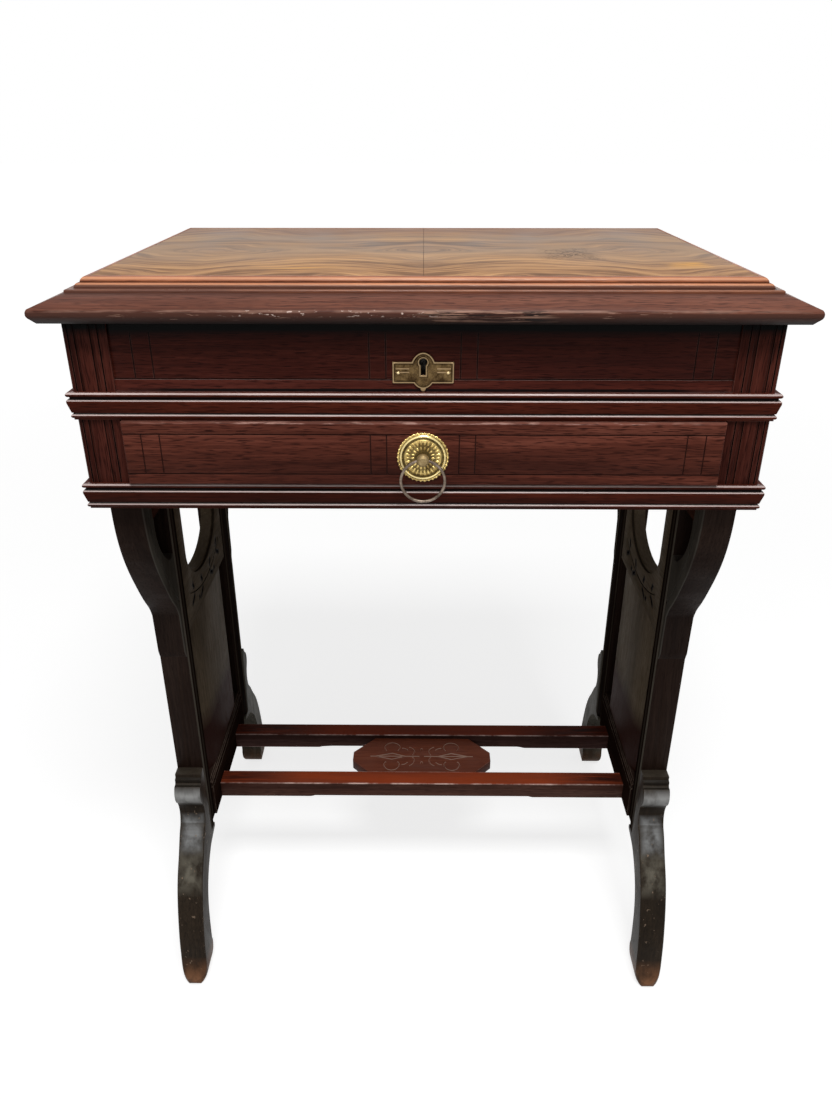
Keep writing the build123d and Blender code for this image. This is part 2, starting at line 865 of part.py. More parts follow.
def panel_tongue():
    x0 = inner_x + panel_set_back
    return block(x0, x0 + panel_thickness, -stile_back - tongue, -stile_back, rail_top - tongue,
                 arched_rail_bottom)


def bottom_rail():
    rail = block(inner_x, outer_x, -stile_back, stile_back, rail_bottom, rail_top)
    rail += [rail_tenon(), flip_y(rail_tenon())]
    rail -= block(inner_x, inner_x + stile_step, -stile_back, stile_back, rail_top - 4, rail_top)
    rail -= block(inner_x, inner_x + line_depth * 2, -stile_back, stile_back, rail_top - 11, rail_top - 9.5)
    x0 = inner_x + panel_set_back
    rail -= block(x0, x0 + panel_thickness, -stile_back, stile_back, rail_top - tongue, rail_top)
    for y in (-stretcher_spread / 2, stretcher_spread / 2):
        rail -= stretcher_tenon_block(y)
    return rail


def lower_panel():
    # Thin panel held in grooves, with a raised and fielded face level with the arched rail above.
    x0 = inner_x + panel_set_back
    reach = stile_back + tongue
    panel = block(x0, x0 + panel_thickness, -reach, reach, rail_top - tongue, arched_rail_bottom)
    half = field_width / 2
    face_x = inner_x + stile_step
    foot_y = stile_back - field_gap
    section = outline(Polyline((face_x, -half), (face_x, half), (x0, foot_y), (x0, -foot_y), close=True))
    return panel + along_z(section, rail_top, arched_rail_bottom)


def arch_face(grow):
    # Round-bottomed opening, straight above the springing, open to the cleat.
    half = arch_width / 2 + grow
    spring = arch_bottom + arch_rise
    curve = EllipticalCenterArc((0, spring), half, arch_rise + grow, 180, arc_size=180)
    sides = Polyline((half, spring), (half, cleat_bottom), (-half, cleat_bottom), (-half, spring))
    return outline(curve, sides)


def arched_rail():
    x0 = inner_x + stile_step
    rail = block(x0, x0 + arched_rail_thickness, -stile_back, stile_back, arched_rail_bottom, cleat_bottom)
    rail -= along_x(arch_face(0), x0, x0 + arched_rail_thickness)
    rail -= along_x(arch_face(arch_border), x0, x0 + arch_border_depth)
    rail += [arched_tenon(), flip_y(arched_tenon())]
    return rail - vine(x0)


def stem_height(y):
    # Level of the vine's stem, which sags below the arch.
    return arch_bottom - stem_drop + stem_rise * (y / stem_reach) ** 2


def lens(length, y, z, lean):
    tip, side = length / 2, leaf_width / 2
    leaf = outline(ThreePointArc((-tip, 0), (0, side), (tip, 0)),
                   ThreePointArc((tip, 0), (0, -side), (-tip, 0)))
    return Pos(y, z) * Rot(0, 0, lean) * leaf


def vine(x0):
    # Stem as a shallow groove, slit leaves below and buds above it, and a dot between the leaves.
    places = [-stem_reach, 0, stem_reach]
    top = ThreePointArc(*[(y, stem_height(y) + stem_width / 2) for y in places])
    low = ThreePointArc(*[(y, stem_height(y) - stem_width / 2) for y in places])
    stem = outline(top, Line(top @ 1, low @ 1), low, Line(low @ 0, top @ 0))
    cuts = [along_x(stem, x0, x0 + carve_depth)]
    for place in leaf_places:
        z = stem_height(place)
        leaf = lens(leaf_length, place + leaf_length * 0.44, z - leaf_length / 2, -29)
        bud = lens(bud_length, place + bud_length * 0.25, z + bud_length, 61)
        for shape in (leaf, bud):
            cut = along_x(shape, x0, x0 + carve_depth)
            cuts += [cut, flip_y(cut)]
    dot = along_x(Pos(dot_place, stem_height(dot_place) - leaf_length * 0.8) * Circle(dot_radius),
                  x0, x0 + carve_depth * 1.5)
    return cuts + [dot, flip_y(dot)]


def cleat():
    bar = block(inner_x, outer_x, -cleat_reach, cleat_reach, cleat_bottom, case_floor)
    bar -= [end_tenon(cleat_bottom, cleat_bottom + tenon_length),
            flip_y(end_tenon(cleat_bottom, cleat_bottom + tenon_length))]
    for y in (-cleat_screw_place, cleat_screw_place):
        bar -= countersunk(mid_x, y, cleat_bottom, 1, cleat_screw_shank + fit, cleat_screw_head + fit,
                           cleat_height + cleat_screw_bite * 2)
    return bar


def bracket_curve(shift):
    # Front edge of the bracket from the case down to its tail, moved back by shift.
    face = -stile_face + shift
    top = case_floor
    tail = case_floor - bracket_tail
    points = [(face - bracket_reach, top), (face - bracket_reach * 0.97, top - 30),
              (face - bracket_reach * 0.835, top - 60), (face - bracket_reach * 0.58, top - 91),
              (face - bracket_reach * 0.26, top - 122), (face - tail_thickness - 1.2, top - 142)]
    sweep = Spline(*points, tangents=((0, -1), (0.35, -1)))
    return sweep, points[-1], tail


def bracket():
    sweep, last, tail = bracket_curve(0)
    seat = -stile_face
    ending = Polyline(last, (seat - tail_thickness, tail + 8), (seat, tail), (seat, cleat_bottom),
                      (-cleat_reach, cleat_bottom), (-cleat_reach, case_floor), sweep @ 0)
    piece = along_x(outline(sweep, ending), inner_x, outer_x)
    return piece - bracket_pocket() - bracket_incision()


def bracket_pocket():
    # Sunk field between the bracket's moulded edge and the stile, with a rounded foot.
    seat = -stile_face
    top, bottom = cleat_bottom, cleat_bottom - pocket_height
    front = seat - bracket_reach + bracket_band
    edge = ThreePointArc((front, top), (front + 5, top - pocket_height * 0.55), (seat - 16, bottom + 4))
    foot = ThreePointArc((seat - 16, bottom + 4), (seat - 10, bottom), (seat, bottom + 2))
    rest = Polyline((seat, bottom + 2), (seat, top), (front, top))
    return along_x(outline(edge, foot, rest), inner_x, inner_x + pocket_depth)


def bracket_incision():
    # Line that follows the front edge on the inner side.
    near, near_last, tail = bracket_curve(bracket_line)
    far, far_last, tail = bracket_curve(bracket_line + bracket_line_width)
    band = outline(near, Line(near @ 1, far @ 1), far, Line(far @ 0, near @ 0))
    keep = block(inner_x, inner_x + line_depth, -stile_face - bracket_reach, -stile_face,
                 case_floor - bracket_tail, case_floor)
    return along_x(band, inner_x, inner_x + line_depth) & keep


def foot():
    # Sabre foot: collar and scroll over the stile's lower end, cove, knee and turned-out toe.
    face = -stile_face
    top = rail_bottom + collar_height
    shelf = face - collar_shelf
    bulge = face - collar_bulge
    toe = face - toe_reach
    lines = (
        Polyline((face, top), (shelf, top), (shelf, top - 4), (shelf - 3, top - 5), (shelf - 3, top - 9),
                 (shelf - 4.5, top - 10.5), (bulge + 4, top - 10.5)),
        ThreePointArc((bulge + 4, top - 10.5), (bulge, top - 21), (bulge + 5.5, top - 34)),
        ThreePointArc((bulge + 5.5, top - 34), (bulge + 8.5, top - 48), (bulge + 5, top - 61)),
        Spline((bulge + 5, top - 61), (toe + 51, rail_bottom + 4), (toe + 38, rail_bottom - 13),
               (toe + 27, rail_bottom - 34), (toe + 16.5, rail_bottom - 66), (toe + 11.5, 50),
               (toe + 8, 26),
               (toe, 7), tangents=((-1, -0.75), (-0.75, -0.7))),
        ThreePointArc((toe, 7), (toe + 1.2, 2.6), (toe + 5, 0)),
        Line((toe + 5, 0), (toe + 23, 0)),
        ThreePointArc((toe + 23, 0), (toe + 34, 9), (toe + 39.5, 25)),
        Spline((toe + 39.5, 25), (toe + 38.5, 40), (toe + 40.5, rail_bottom - 78),
               (toe + 44.5, rail_bottom - 58), (toe + 53, rail_bottom - 38),
               (toe + 65, rail_bottom - 23), (toe + 78, rail_bottom - 12.5),
               (face + foot_tail, rail_bottom - tail_height),
               tangents=((-0.5, 0.9), (1, 0.3))),
        Polyline((face + foot_tail, rail_bottom - tail_height), (face + foot_tail, rail_bottom),
                 (face, rail_bottom),
                 (face, top)))
    piece = along_x(outline(*lines), inner_x, outer_x)
    sabre = [edge for edge in piece.edges()
             if edge.bounding_box().min.Y < toe + foot_ease and edge.bounding_box().size.Z > rail_bottom]
    return (chamfer(sabre, foot_ease) & rounded_sole()) - foot_dowels(dowel_radius + fit)


def rounded_sole():
    # Front view of the foot, whose sides turn in towards the sole.
    w, h = sole_round, sole_round_height
    left = EllipticalCenterArc((inner_x + w, h), w, h, 180, arc_size=90)
    right = EllipticalCenterArc((outer_x - w, h), w, h, 270, arc_size=90)
    top = rail_bottom + collar_height
    sides = Polyline((outer_x, h), (outer_x, top), (inner_x, top), (inner_x, h))
    face = outline(left, Line((inner_x + w, 0), (outer_x - w, 0)), right, sides)
    return along_y(face, -stile_face - toe_reach, -stile_face + foot_tail) & rounded_toe(top)


def rounded_toe(top):
    # Plan of the foot, whose toe is rounded at its two front corners.
    r = toe_round
    y0, y1 = -stile_face - toe_reach, -stile_face + foot_tail
    left = CenterArc((inner_x + r, y0 + r), r, 180, 90)
    right = CenterArc((outer_x - r, y0 + r), r, 270, 90)
    sides = Polyline((outer_x, y0 + r), (outer_x, y1), (inner_x, y1), (inner_x, y0 + r))
    return along_z(outline(left, Line((inner_x + r, y0), (outer_x - r, y0)), right, sides), 0, top)


def foot_dowels(radius):
    # Two pegs between the collar of the foot and the stile behind it.
    half = dowel_length / 2
    pegs = [rod_y(mid_x, rail_bottom + place, radius, -stile_face - half, -stile_face + half)
            for place in dowel_places]
    return group(*pegs)


def cleat_screw(y):
    return countersunk(mid_x, y, cleat_bottom, 1, cleat_screw_shank, cleat_screw_head,
                       cleat_height + cleat_screw_bite)


# Stretchers and plaque


def stretcher_tenon_block(y):
    half = stretcher_depth / 2 - 4
    z0 = rail_bottom + 4
    return block(inner_x, inner_x + stretcher_tenon, y - half, y + half, z0,
                 rail_bottom + stretcher_height - 4)


def stretcher(y):
    half = stretcher_depth / 2
    top = rail_bottom + stretcher_height
    bar = block(-inner_x, inner_x, y - half, y + half, rail_bottom, top)
    run = relief_length / 2
    low = rail_bottom + stretcher_relief
    hollow = outline(Polyline((-run, rail_bottom), (-run + 6, low), (run - 6, low), (run, rail_bottom),
                              close=True))
    bar -= along_y(hollow, y - half, y + half)
    bar += [stretcher_tenon_block(y), flip_x(stretcher_tenon_block(y))]
    return bar - plaque_blank()


def plaque_blank():
    x0, x1 = plaque_seat / 2, plaque_length / 2
    y0 = plaque_end / 2
    y1 = (stretcher_spread - stretcher_depth) / 2
    z1 = rail_bottom + stretcher_height - plaque_drop
    face = Polyline((-x0, -y1), (x0, -y1), (x1, -y0), (x1, y0), (x0, y1), (-x0, y1), (-x1, y0),
                    (-x1, -y0), close=True)
    blank = along_z(outline(face), z1 - plaque_thickness, z1)
    y2 = y1 + plaque_tongue
    return blank + block(-x0, x0, -y2, y2, z1 - plaque_thickness * 0.75, z1 - plaque_thickness * 0.25)


def ribbon(curve):
    return trace(curve, incised_width)


def plaque():
    # Incised spears, lozenges, four loops and small strokes about the centre.
    z1 = rail_bottom + stretcher_height - plaque_drop
    quarter = [
        Line((3, 0), (62, 0)),
        Polyline((20, 0), (36, 5.5), (56, 0)),
        ThreePointArc((29, 10), (36, 25), (43, 10)),
        ThreePointArc((11, 2), (9, 9), (15, 17)),
        ThreePointArc((17, 11), (20, 14), (24, 15)),
    ]
    marks = Sketch() + [ribbon(curve) for curve in quarter]
    marks += Pos(0, 12) * Ellipse(1.4, 3)
    half = marks + mirror(marks, about=Plane.YZ)
    marks = half + mirror(half, about=Plane.XZ)
    return plaque_blank() - along_z(marks, z1 - incised_depth, z1)


def both_sides(name, shape):
    save("right_" + name, shape)
    save("left_" + name, flip_x(shape))


def front_and_back(shape):
    return group(shape, flip_y(shape))


os.makedirs("parts", exist_ok=True)

right_front_post, right_back_post = front_post(), back_post()
save("front_posts", group(right_front_post, flip_x(right_front_post)))
save("back_posts", group(right_back_post, flip_x(right_back_post)))
save("front_panel", front_panel())
save("front_rail", front_rail())
both_sides("side_board", side_board())
save("back_board", back_board())
save("well_floor", floor_shape(opening_top, well_floor_top))
save("bottom_board", bottom_board())
save("drawer_runners", group(drawer_runner(), flip_x(drawer_runner())))
save("mid_moulding_front", case_moulding_front(opening_top))
save("mid_moulding_sides", case_moulding_sides(opening_top))
save("base_moulding_front", case_moulding_front(case_floor))
save("base_moulding_sides", case_moulding_sides(case_floor))
save("escutcheon", escutcheon())
save("escutcheon_pins", escutcheon_pins())
save("lock_case", lock_case())
save("lock_bolt", lock_bolt())

case_leaves, lid_leaves, hinge_pins, case_screws, lid_screws = hinge_parts()
save("case_hinge_leaves", case_leaves)
save("lid_hinge_leaves", lid_leaves)
save("hinge_pins", hinge_pins)
save("case_hinge_screws", case_screws)
save("lid_hinge_screws", lid_screws)

save("lid_cornice", lid_cornice())
save("lid_top_moulding", lid_top_moulding())
save("lid_core", lid_core())
both_sides("lid_top", lid_top_half())
save("lock_staple", lock_staple())

save("drawer_front", drawer_front())
save("drawer_sides", group(drawer_side_right(), flip_x(drawer_side_right())))
save("drawer_back", drawer_back_pin())
save("drawer_bottom", drawer_bottom())
save("pull_rosette", pull_rosette())
save("pull_post", pull_post())
save("pull_nut", pull_nut())
save("pull_ring", pull_ring())

front_stile, front_bracket, front_foot = stile(), bracket(), foot()
both_sides("stiles", front_and_back(front_stile))
both_sides("brackets", front_and_back(front_bracket))
both_sides("front_foot", front_foot)
both_sides("back_foot", flip_y(front_foot))
both_sides("bottom_rail", bottom_rail())
both_sides("lower_panel", lower_panel())
both_sides("arched_rail", arched_rail())
both_sides("cleat", cleat())
dowels = front_and_back(foot_dowels(dowel_radius))
save("foot_dowels", group(dowels, flip_x(dowels)))
screws = group(cleat_screw(-cleat_screw_place), cleat_screw(cleat_screw_place))
save("cleat_screws", group(screws, flip_x(screws)))
save("stretcher_front", stretcher(-stretcher_spread / 2))
save("stretcher_rear", stretcher(stretcher_spread / 2))
save("plaque", plaque())
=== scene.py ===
import bpy
import bmesh
import json
import math
from mathutils import Matrix, Vector
from mathutils.bvhtree import BVHTree

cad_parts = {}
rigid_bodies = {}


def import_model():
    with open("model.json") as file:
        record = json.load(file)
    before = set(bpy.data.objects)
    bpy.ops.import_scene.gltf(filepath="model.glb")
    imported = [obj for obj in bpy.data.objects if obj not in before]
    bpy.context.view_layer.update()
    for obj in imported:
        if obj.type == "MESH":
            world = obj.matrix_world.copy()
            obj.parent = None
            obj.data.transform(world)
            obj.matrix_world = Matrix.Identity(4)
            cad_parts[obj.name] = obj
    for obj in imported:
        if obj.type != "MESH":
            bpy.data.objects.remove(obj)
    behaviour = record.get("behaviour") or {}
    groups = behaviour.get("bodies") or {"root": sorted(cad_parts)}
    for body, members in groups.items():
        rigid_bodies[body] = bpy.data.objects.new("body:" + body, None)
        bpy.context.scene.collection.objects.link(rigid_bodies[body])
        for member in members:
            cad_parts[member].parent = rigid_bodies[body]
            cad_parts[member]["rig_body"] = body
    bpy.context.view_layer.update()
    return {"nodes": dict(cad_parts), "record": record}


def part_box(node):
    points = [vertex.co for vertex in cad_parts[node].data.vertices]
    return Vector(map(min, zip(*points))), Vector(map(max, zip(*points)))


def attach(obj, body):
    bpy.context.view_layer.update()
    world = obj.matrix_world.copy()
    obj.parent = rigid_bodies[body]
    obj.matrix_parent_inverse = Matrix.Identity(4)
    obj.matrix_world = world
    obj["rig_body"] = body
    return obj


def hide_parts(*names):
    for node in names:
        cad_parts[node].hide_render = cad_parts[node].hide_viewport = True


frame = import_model()
nodes = frame["nodes"]
slots = {part["node"]: part["material_slot"] for part in frame["record"]["subparts"]}
print("frame loaded:", len(nodes), "nodes")


# a small bench for wiring shader and geometry trees; every call but split returns one output socket
class Bench:
    def __init__(self, tree):
        self.tree = tree

    def put(self, kind, values=None, out=0, **props):
        node = self.tree.nodes.new(kind)
        for key, value in props.items():
            setattr(node, key, value)
        for key, value in (values or {}).items():
            socket = node.inputs[key]
            if isinstance(value, bpy.types.NodeSocket):
                self.tree.links.new(value, socket)
            else:
                socket.default_value = value
        return node.outputs[out]

    def math(self, operation, a, b=0.0, clamp=False):
        return self.put("ShaderNodeMath", {0: a, 1: b}, operation=operation, use_clamp=clamp)

    def add(self, *values):
        total = values[0]
        for value in values[1:]:
            total = self.math("ADD", total, value)
        return total

    def times(self, *values):
        total = values[0]
        for value in values[1:]:
            total = self.math("MULTIPLY", total, value)
        return total

    def span(self, value, low, high, start=0.0, end=1.0):
        return self.put("ShaderNodeMapRange", {0: value, 1: low, 2: high, 3: start, 4: end})

    def mix(self, factor, a, b):      # a plain colour is a tuple; 6, 7 and 2 are the node's colour sockets
        a, b = [(*side, 1.0) if isinstance(side, tuple) else side for side in (a, b)]
        return self.put("ShaderNodeMix", {0: factor, 6: a, 7: b}, out=2, data_type="RGBA")

    def join(self, x, y, z):
        return self.put("ShaderNodeCombineXYZ", {0: x, 1: y, 2: z})

    def split(self, vector):
        return self.put("ShaderNodeSeparateXYZ", {0: vector}).node.outputs

    def stretch(self, parts, scale):
        return self.join(*[self.times(part, factor) for part, factor in zip(parts, scale)])

    def place(self, vector, move=(0, 0, 0), scale=(1, 1, 1)):
        return self.put("ShaderNodeMapping", {0: vector, 1: move, 3: scale})

    def noise(self, vector, scale, detail=3.0, rough=0.55, warp=0.0):
        return self.put("ShaderNodeTexNoise", {"Vector": vector, "Scale": scale, "Detail": detail,
                                               "Roughness": rough, "Distortion": warp})

    def point(self):
        return self.put("ShaderNodeTexCoord", out="Object")

    def mark(self, name):      # a face attribute, read as one number
        return self.put("ShaderNodeAttribute", attribute_name=name, out=2)

    def bump(self, strength, distance, height):
        return self.put("ShaderNodeBump", {"Strength": strength, "Distance": distance, "Height": height})


def newMaterial(name):
    material = bpy.data.materials.new(name)
    material.use_nodes = True
    tree = material.node_tree
    return material, Bench(tree), tree.nodes["Principled BSDF"]


def feed(bench, socket, shader, name):
    bench.tree.links.new(socket, shader.inputs[name])


# each piece starts its grain and clouds at another place
def pieceOffset(name):
    total = sum((index + 3) * ord(letter) for index, letter in enumerate(name))
    return ((total % 97) * 0.031, (total % 89) * 0.037, (total % 83) * 0.029)


def bothEnds(name):
    return ["left_" + name, "right_" + name]


usual = (0.3, 0.7)      # where most of a noise lies

# varnished and bare woods, in linear colours: "worn" shows on arrises, worn wood with a painted highlight;
# "grime" fills cuts and quirks, grime with painted shade; "lit" is a painted highlight on the upper side,
# partly rubbed wear, laid on at the strength "rubbed" where a face's upward mark is in "band", which rises
# between its first two numbers and falls between its last two; "soak" is the strength of the grime and painted
# shade, "polish" the sheen of polished sides
plain = dict(band=(0.3, 0.85, 1.1, 1.4), soak=0.95, polish=0.5)      # where a wood says nothing else
woods = {
    "lid_mahogany": dict(
        deep=(0.036, 0.010, 0.006), mid=(0.128, 0.041, 0.024), pale=(0.260, 0.102, 0.064),
        worn=(0.50, 0.27, 0.18), grime=(0.010, 0.004, 0.003), lit=(0.21, 0.085, 0.058),
        rubbed=0.15, rough=0.36, sheen=0.14, pores=0.95, wear=0.6, figure=26.0),
    "moulding_mahogany": dict(
        deep=(0.110, 0.028, 0.011), mid=(0.360, 0.108, 0.041), pale=(0.620, 0.230, 0.096),
        worn=(0.62, 0.36, 0.24), grime=(0.016, 0.007, 0.005), lit=(0.84, 0.40, 0.22),
        rubbed=0.65, band=(0.40, 0.60, 0.80, 0.96), rough=0.30, sheen=0.12, pores=0.6, wear=0.5, figure=34.0,
        polish=0.25),
    "case_mahogany": dict(
        deep=(0.020, 0.004, 0.003), mid=(0.074, 0.015, 0.0095), pale=(0.145, 0.036, 0.024),
        worn=(0.40, 0.25, 0.215), grime=(0.004, 0.0015, 0.001), lit=(0.62, 0.49, 0.46),
        rubbed=0.8, band=(0.22, 0.45, 0.85, 0.97), rough=0.34, sheen=0.05, pores=0.85, wear=0.55,
        figure=30.0),
    "post_mahogany": dict(
        deep=(0.019, 0.004, 0.003), mid=(0.068, 0.015, 0.0095), pale=(0.130, 0.034, 0.023),
        worn=(0.30, 0.15, 0.12), grime=(0.004, 0.0015, 0.001), lit=(0.30, 0.22, 0.20),
        rubbed=0.5, band=(0.22, 0.45, 0.85, 0.97), rough=0.36, sheen=0.04, pores=0.85, wear=0.25,
        figure=30.0),
    "fascia_mahogany": dict(
        deep=(0.022, 0.004, 0.002), mid=(0.084, 0.0145, 0.007), pale=(0.160, 0.033, 0.017),
        worn=(0.40, 0.25, 0.215), grime=(0.004, 0.0015, 0.001), lit=(0.62, 0.49, 0.46),
        rubbed=0.85, band=(0.18, 0.40, 0.88, 0.98), rough=0.32, sheen=0.04, pores=0.7, wear=0.55,
        figure=30.0),
    "drawer_mahogany": dict(
        deep=(0.034, 0.008, 0.005), mid=(0.120, 0.031, 0.019), pale=(0.240, 0.074, 0.048),
        worn=(0.36, 0.20, 0.16), grime=(0.012, 0.004, 0.003), lit=(0.20, 0.105, 0.085),
        rubbed=0.3, rough=0.36, sheen=0.06, pores=1.0, wear=0.45, figure=34.0, soak=0.75),
    "leg_mahogany": dict(
        deep=(0.007, 0.003, 0.002), mid=(0.023, 0.013, 0.0095), pale=(0.045, 0.027, 0.020),
        worn=(0.190, 0.140, 0.110), grime=(0.003, 0.002, 0.001), lit=(0.10, 0.092, 0.085),
        rubbed=0.4, rough=0.42, sheen=0.035, pores=0.5, wear=0.5, figure=24.0),
    "rail_mahogany": dict(
        deep=(0.007, 0.003, 0.002), mid=(0.020, 0.010, 0.007), pale=(0.038, 0.020, 0.014),
        worn=(0.190, 0.140, 0.110), grime=(0.003, 0.002, 0.001), lit=(0.030, 0.020, 0.015),
        rubbed=0.4, rough=0.45, sheen=0.02, pores=0.5, wear=0.6, figure=24.0),
    "foot_mahogany": dict(
        deep=(0.008, 0.005, 0.003), mid=(0.026, 0.017, 0.010), pale=(0.050, 0.033, 0.021),
        worn=(0.230, 0.170, 0.125), grime=(0.004, 0.003, 0.002), lit=(0.085, 0.075, 0.060),
        rubbed=0.25, band=(0.25, 0.90, 1.1, 1.4), rough=0.38, sheen=0.07, pores=0.6, wear=0.7, figure=24.0),
    "back_foot_mahogany": dict(
        deep=(0.022, 0.018, 0.013), mid=(0.075, 0.066, 0.050), pale=(0.130, 0.116, 0.092),
        worn=(0.190, 0.165, 0.130), grime=(0.008, 0.006, 0.004), lit=(0.120, 0.112, 0.095),
        rubbed=0.25, band=(0.25, 0.90, 1.1, 1.4), rough=0.45, sheen=0.03, pores=0.5, wear=0.5, figure=70.0),
    "panel_wood": dict(
        deep=(0.048, 0.034, 0.021), mid=(0.118, 0.087, 0.056), pale=(0.185, 0.142, 0.096),
        worn=(0.15, 0.12, 0.09), grime=(0.003, 0.002, 0.001), lit=(0.15, 0.125, 0.095),
        rubbed=0.3, rough=0.5, sheen=0.009, pores=0.5, wear=0.4, figure=20.0),
    "stretcher_mahogany": dict(
        deep=(0.022, 0.006, 0.004), mid=(0.096, 0.043, 0.031), pale=(0.160, 0.078, 0.058),
        worn=(0.66, 0.47, 0.41), grime=(0.010, 0.004, 0.003), lit=(0.275, 0.042, 0.010),
        rubbed=0.92, rough=0.34, sheen=0.035, pores=0.6, wear=1.0, figure=30.0),
    "rear_mahogany": dict(
        deep=(0.016, 0.005, 0.004), mid=(0.064, 0.031, 0.026), pale=(0.110, 0.056, 0.047),
        worn=(0.56, 0.40, 0.36), grime=(0.010, 0.004, 0.003), lit=(0.175, 0.027, 0.009),
        rubbed=0.9, rough=0.36, sheen=0.02, pores=0.6, wear=1.0, figure=30.0),
    "cleat_mahogany": dict(
        deep=(0.016, 0.006, 0.004), mid=(0.048, 0.018, 0.012), pale=(0.086, 0.034, 0.023),
        worn=(0.16, 0.09, 0.065), grime=(0.006, 0.003, 0.002), lit=(0.060, 0.024, 0.016),
        rubbed=0.3, rough=0.5, sheen=0.0, pores=0.6, wear=0.5, figure=30.0),
    # its incised lines are filled pale
    "plaque_mahogany": dict(
        deep=(0.044, 0.011, 0.007), mid=(0.140, 0.037, 0.019), pale=(0.250, 0.076, 0.040),
        worn=(0.42, 0.25, 0.19), grime=(0.42, 0.29, 0.23), lit=(0.21, 0.054, 0.026),
        rubbed=0.3, rough=0.38, sheen=0.05, pores=0.6, wear=0.6, figure=34.0),
    "inner_wood": dict(
        deep=(0.14, 0.075, 0.035), mid=(0.24, 0.135, 0.068), pale=(0.34, 0.21, 0.115),
        worn=(0.42, 0.29, 0.18), grime=(0.06, 0.035, 0.02), lit=(0.30, 0.18, 0.10),
        rubbed=0.1, rough=0.62, sheen=0.2, pores=0.35, wear=0.3, figure=22.0),
}
woods["carved_wood"] = dict(woods["panel_wood"], worn=(0.008, 0.005, 0.003), grime=(0.002, 0.001, 0.001),
                            sheen=0.003, wear=1.6)      # grime and painted shade in its cuts and on its arrises

# pieces whose wood differs from their slot's
finishes = {nodeName: wood for wood, members in {
    "moulding_mahogany": ["lid_top_moulding"], "drawer_mahogany": ["drawer_front"], "plaque_mahogany": ["plaque"],
    "fascia_mahogany": ["mid_moulding_front", "base_moulding_front"], "rear_mahogany": ["stretcher_rear"],
    "post_mahogany": ["front_posts", "back_posts"], "cleat_mahogany": bothEnds("cleat"),
    "rail_mahogany": bothEnds("bottom_rail"), "carved_wood": bothEnds("arched_rail"),
    "foot_mahogany": bothEnds("front_foot"), "back_foot_mahogany": bothEnds("back_foot"),
}.items() for nodeName in members}
polished = ["mid_moulding_front", "base_moulding_front", "lid_top_moulding"]      # their upper sides shine
dryFlanks = bothEnds("stiles") + bothEnds("brackets") + bothEnds("bottom_rail")      # their sides are dull
dryCuts = bothEnds("arched_rail")      # the carved vine is dull in its cuts

# marks that belong to one spot: a soft box in metres, filled with streaks or specks where "streak" is given,
# on one facing where "facing" is given
markRules = dict(soft=0.65, facing=(0.45, 0.8))
marks = {
    "lid_top_moulding": [      # darker lower bead
        dict(at=(0.0, 0.0, 0.7322), reach=(0.40, 0.40, 0.0030), soft=0.7, streak=(9, 60, 60),
             share=(0.10, 0.60), tint=(0.130, 0.052, 0.034)),
    ],
    # the nose is in painted shade and its foot in painted shadow
    "lid_cornice": [      # nose, its foot, upper line, edge line, splinter and its dark bed, nicks, scuffs
        dict(at=(0.0, 0.0, 0.7140), reach=(0.40, 0.40, 0.0062), soft=0.8, streak=(6, 60, 200),
             share=(0.05, 0.50), tint=(0.078, 0.029, 0.019)),
        dict(at=(0.0, 0.0, 0.7105), reach=(0.90, 0.90, 0.0060), soft=0.25, tint=(0.010, 0.004, 0.003)),
        dict(at=(0.0, 0.0, 0.7304), reach=(0.90, 0.90, 0.0030), soft=0.3, streak=(7, 9, 40),
             share=(0.20, 0.60), tint=(0.075, 0.033, 0.025)),
        dict(at=(0.0, 0.0, 0.7209), reach=(0.40, 0.40, 0.0011), soft=0.3, streak=(35, 60, 300),
             share=(0.38, 0.66), tint=(0.34, 0.19, 0.14)),
        dict(at=(0.043, -0.196, 0.7175), reach=(0.056, 0.012, 0.0050), soft=0.7, streak=(24, 600, 800),
             share=(0.50, 0.55), tint=(0.36, 0.20, 0.14)),
        dict(at=(0.043, -0.196, 0.7165), reach=(0.056, 0.012, 0.0055), soft=0.7, streak=(30, 600, 950),
             share=(0.54, 0.57), tint=(0.012, 0.005, 0.004)),
        dict(at=(-0.065, -0.195, 0.7195), reach=(0.085, 0.012, 0.0026), streak=(210, 210, 600),
             share=(0.62, 0.65), tint=(0.66, 0.50, 0.43)),
        dict(at=(0.0, -0.196, 0.7175), reach=(0.28, 0.012, 0.0035), streak=(70, 70, 700), share=(0.63, 0.70),
             tint=(0.33, 0.18, 0.13)),
    ],
    "front_panel": [      # painted shadow under the lid, painted shade along its foot
        dict(at=(0.0, -0.175, 0.711), reach=(0.70, 0.05, 0.016), soft=0.45, facing="frontward",
             tint=(0.001, 0.001, 0.001)),
        dict(at=(0.0, -0.1745, 0.6575), reach=(0.24, 0.0040, 0.0016), soft=0.8, tint=(0.003, 0.001, 0.001)),
    ],
    # painted shadow under the lid
    "front_posts": [
        dict(at=(0.0, -0.165, 0.711), reach=(0.80, 0.08, 0.013), soft=0.45, facing="frontward",
             tint=(0.001, 0.001, 0.001)),
    ],
    "drawer_front": [      # chipped upper and lower edges
        dict(at=(0.0, -0.186, 0.6342), reach=(0.236, 0.004, 0.0011), streak=(55, 200, 300),
             share=(0.50, 0.62), tint=(0.34, 0.19, 0.155)),
        dict(at=(0.0, -0.186, 0.5826), reach=(0.236, 0.004, 0.0009), streak=(55, 200, 300),
             share=(0.52, 0.62), tint=(0.30, 0.17, 0.14)),
    ],
}

# X of the stiles' inner flanks, of the panels' faces and of the middle of a trestle end
trestle = dict(flank=0.2325, face=0.235, middle=0.246)
# stretchers darken towards their ends: place, length of the dark end, colour
stretcherEnds = {"stretcher_front": ((0.215, -0.044, 0.158), 0.075, (0.035, 0.009, 0.006)),
                 "stretcher_rear": ((0.200, 0.044, 0.158), 0.095, (0.022, 0.007, 0.005))}
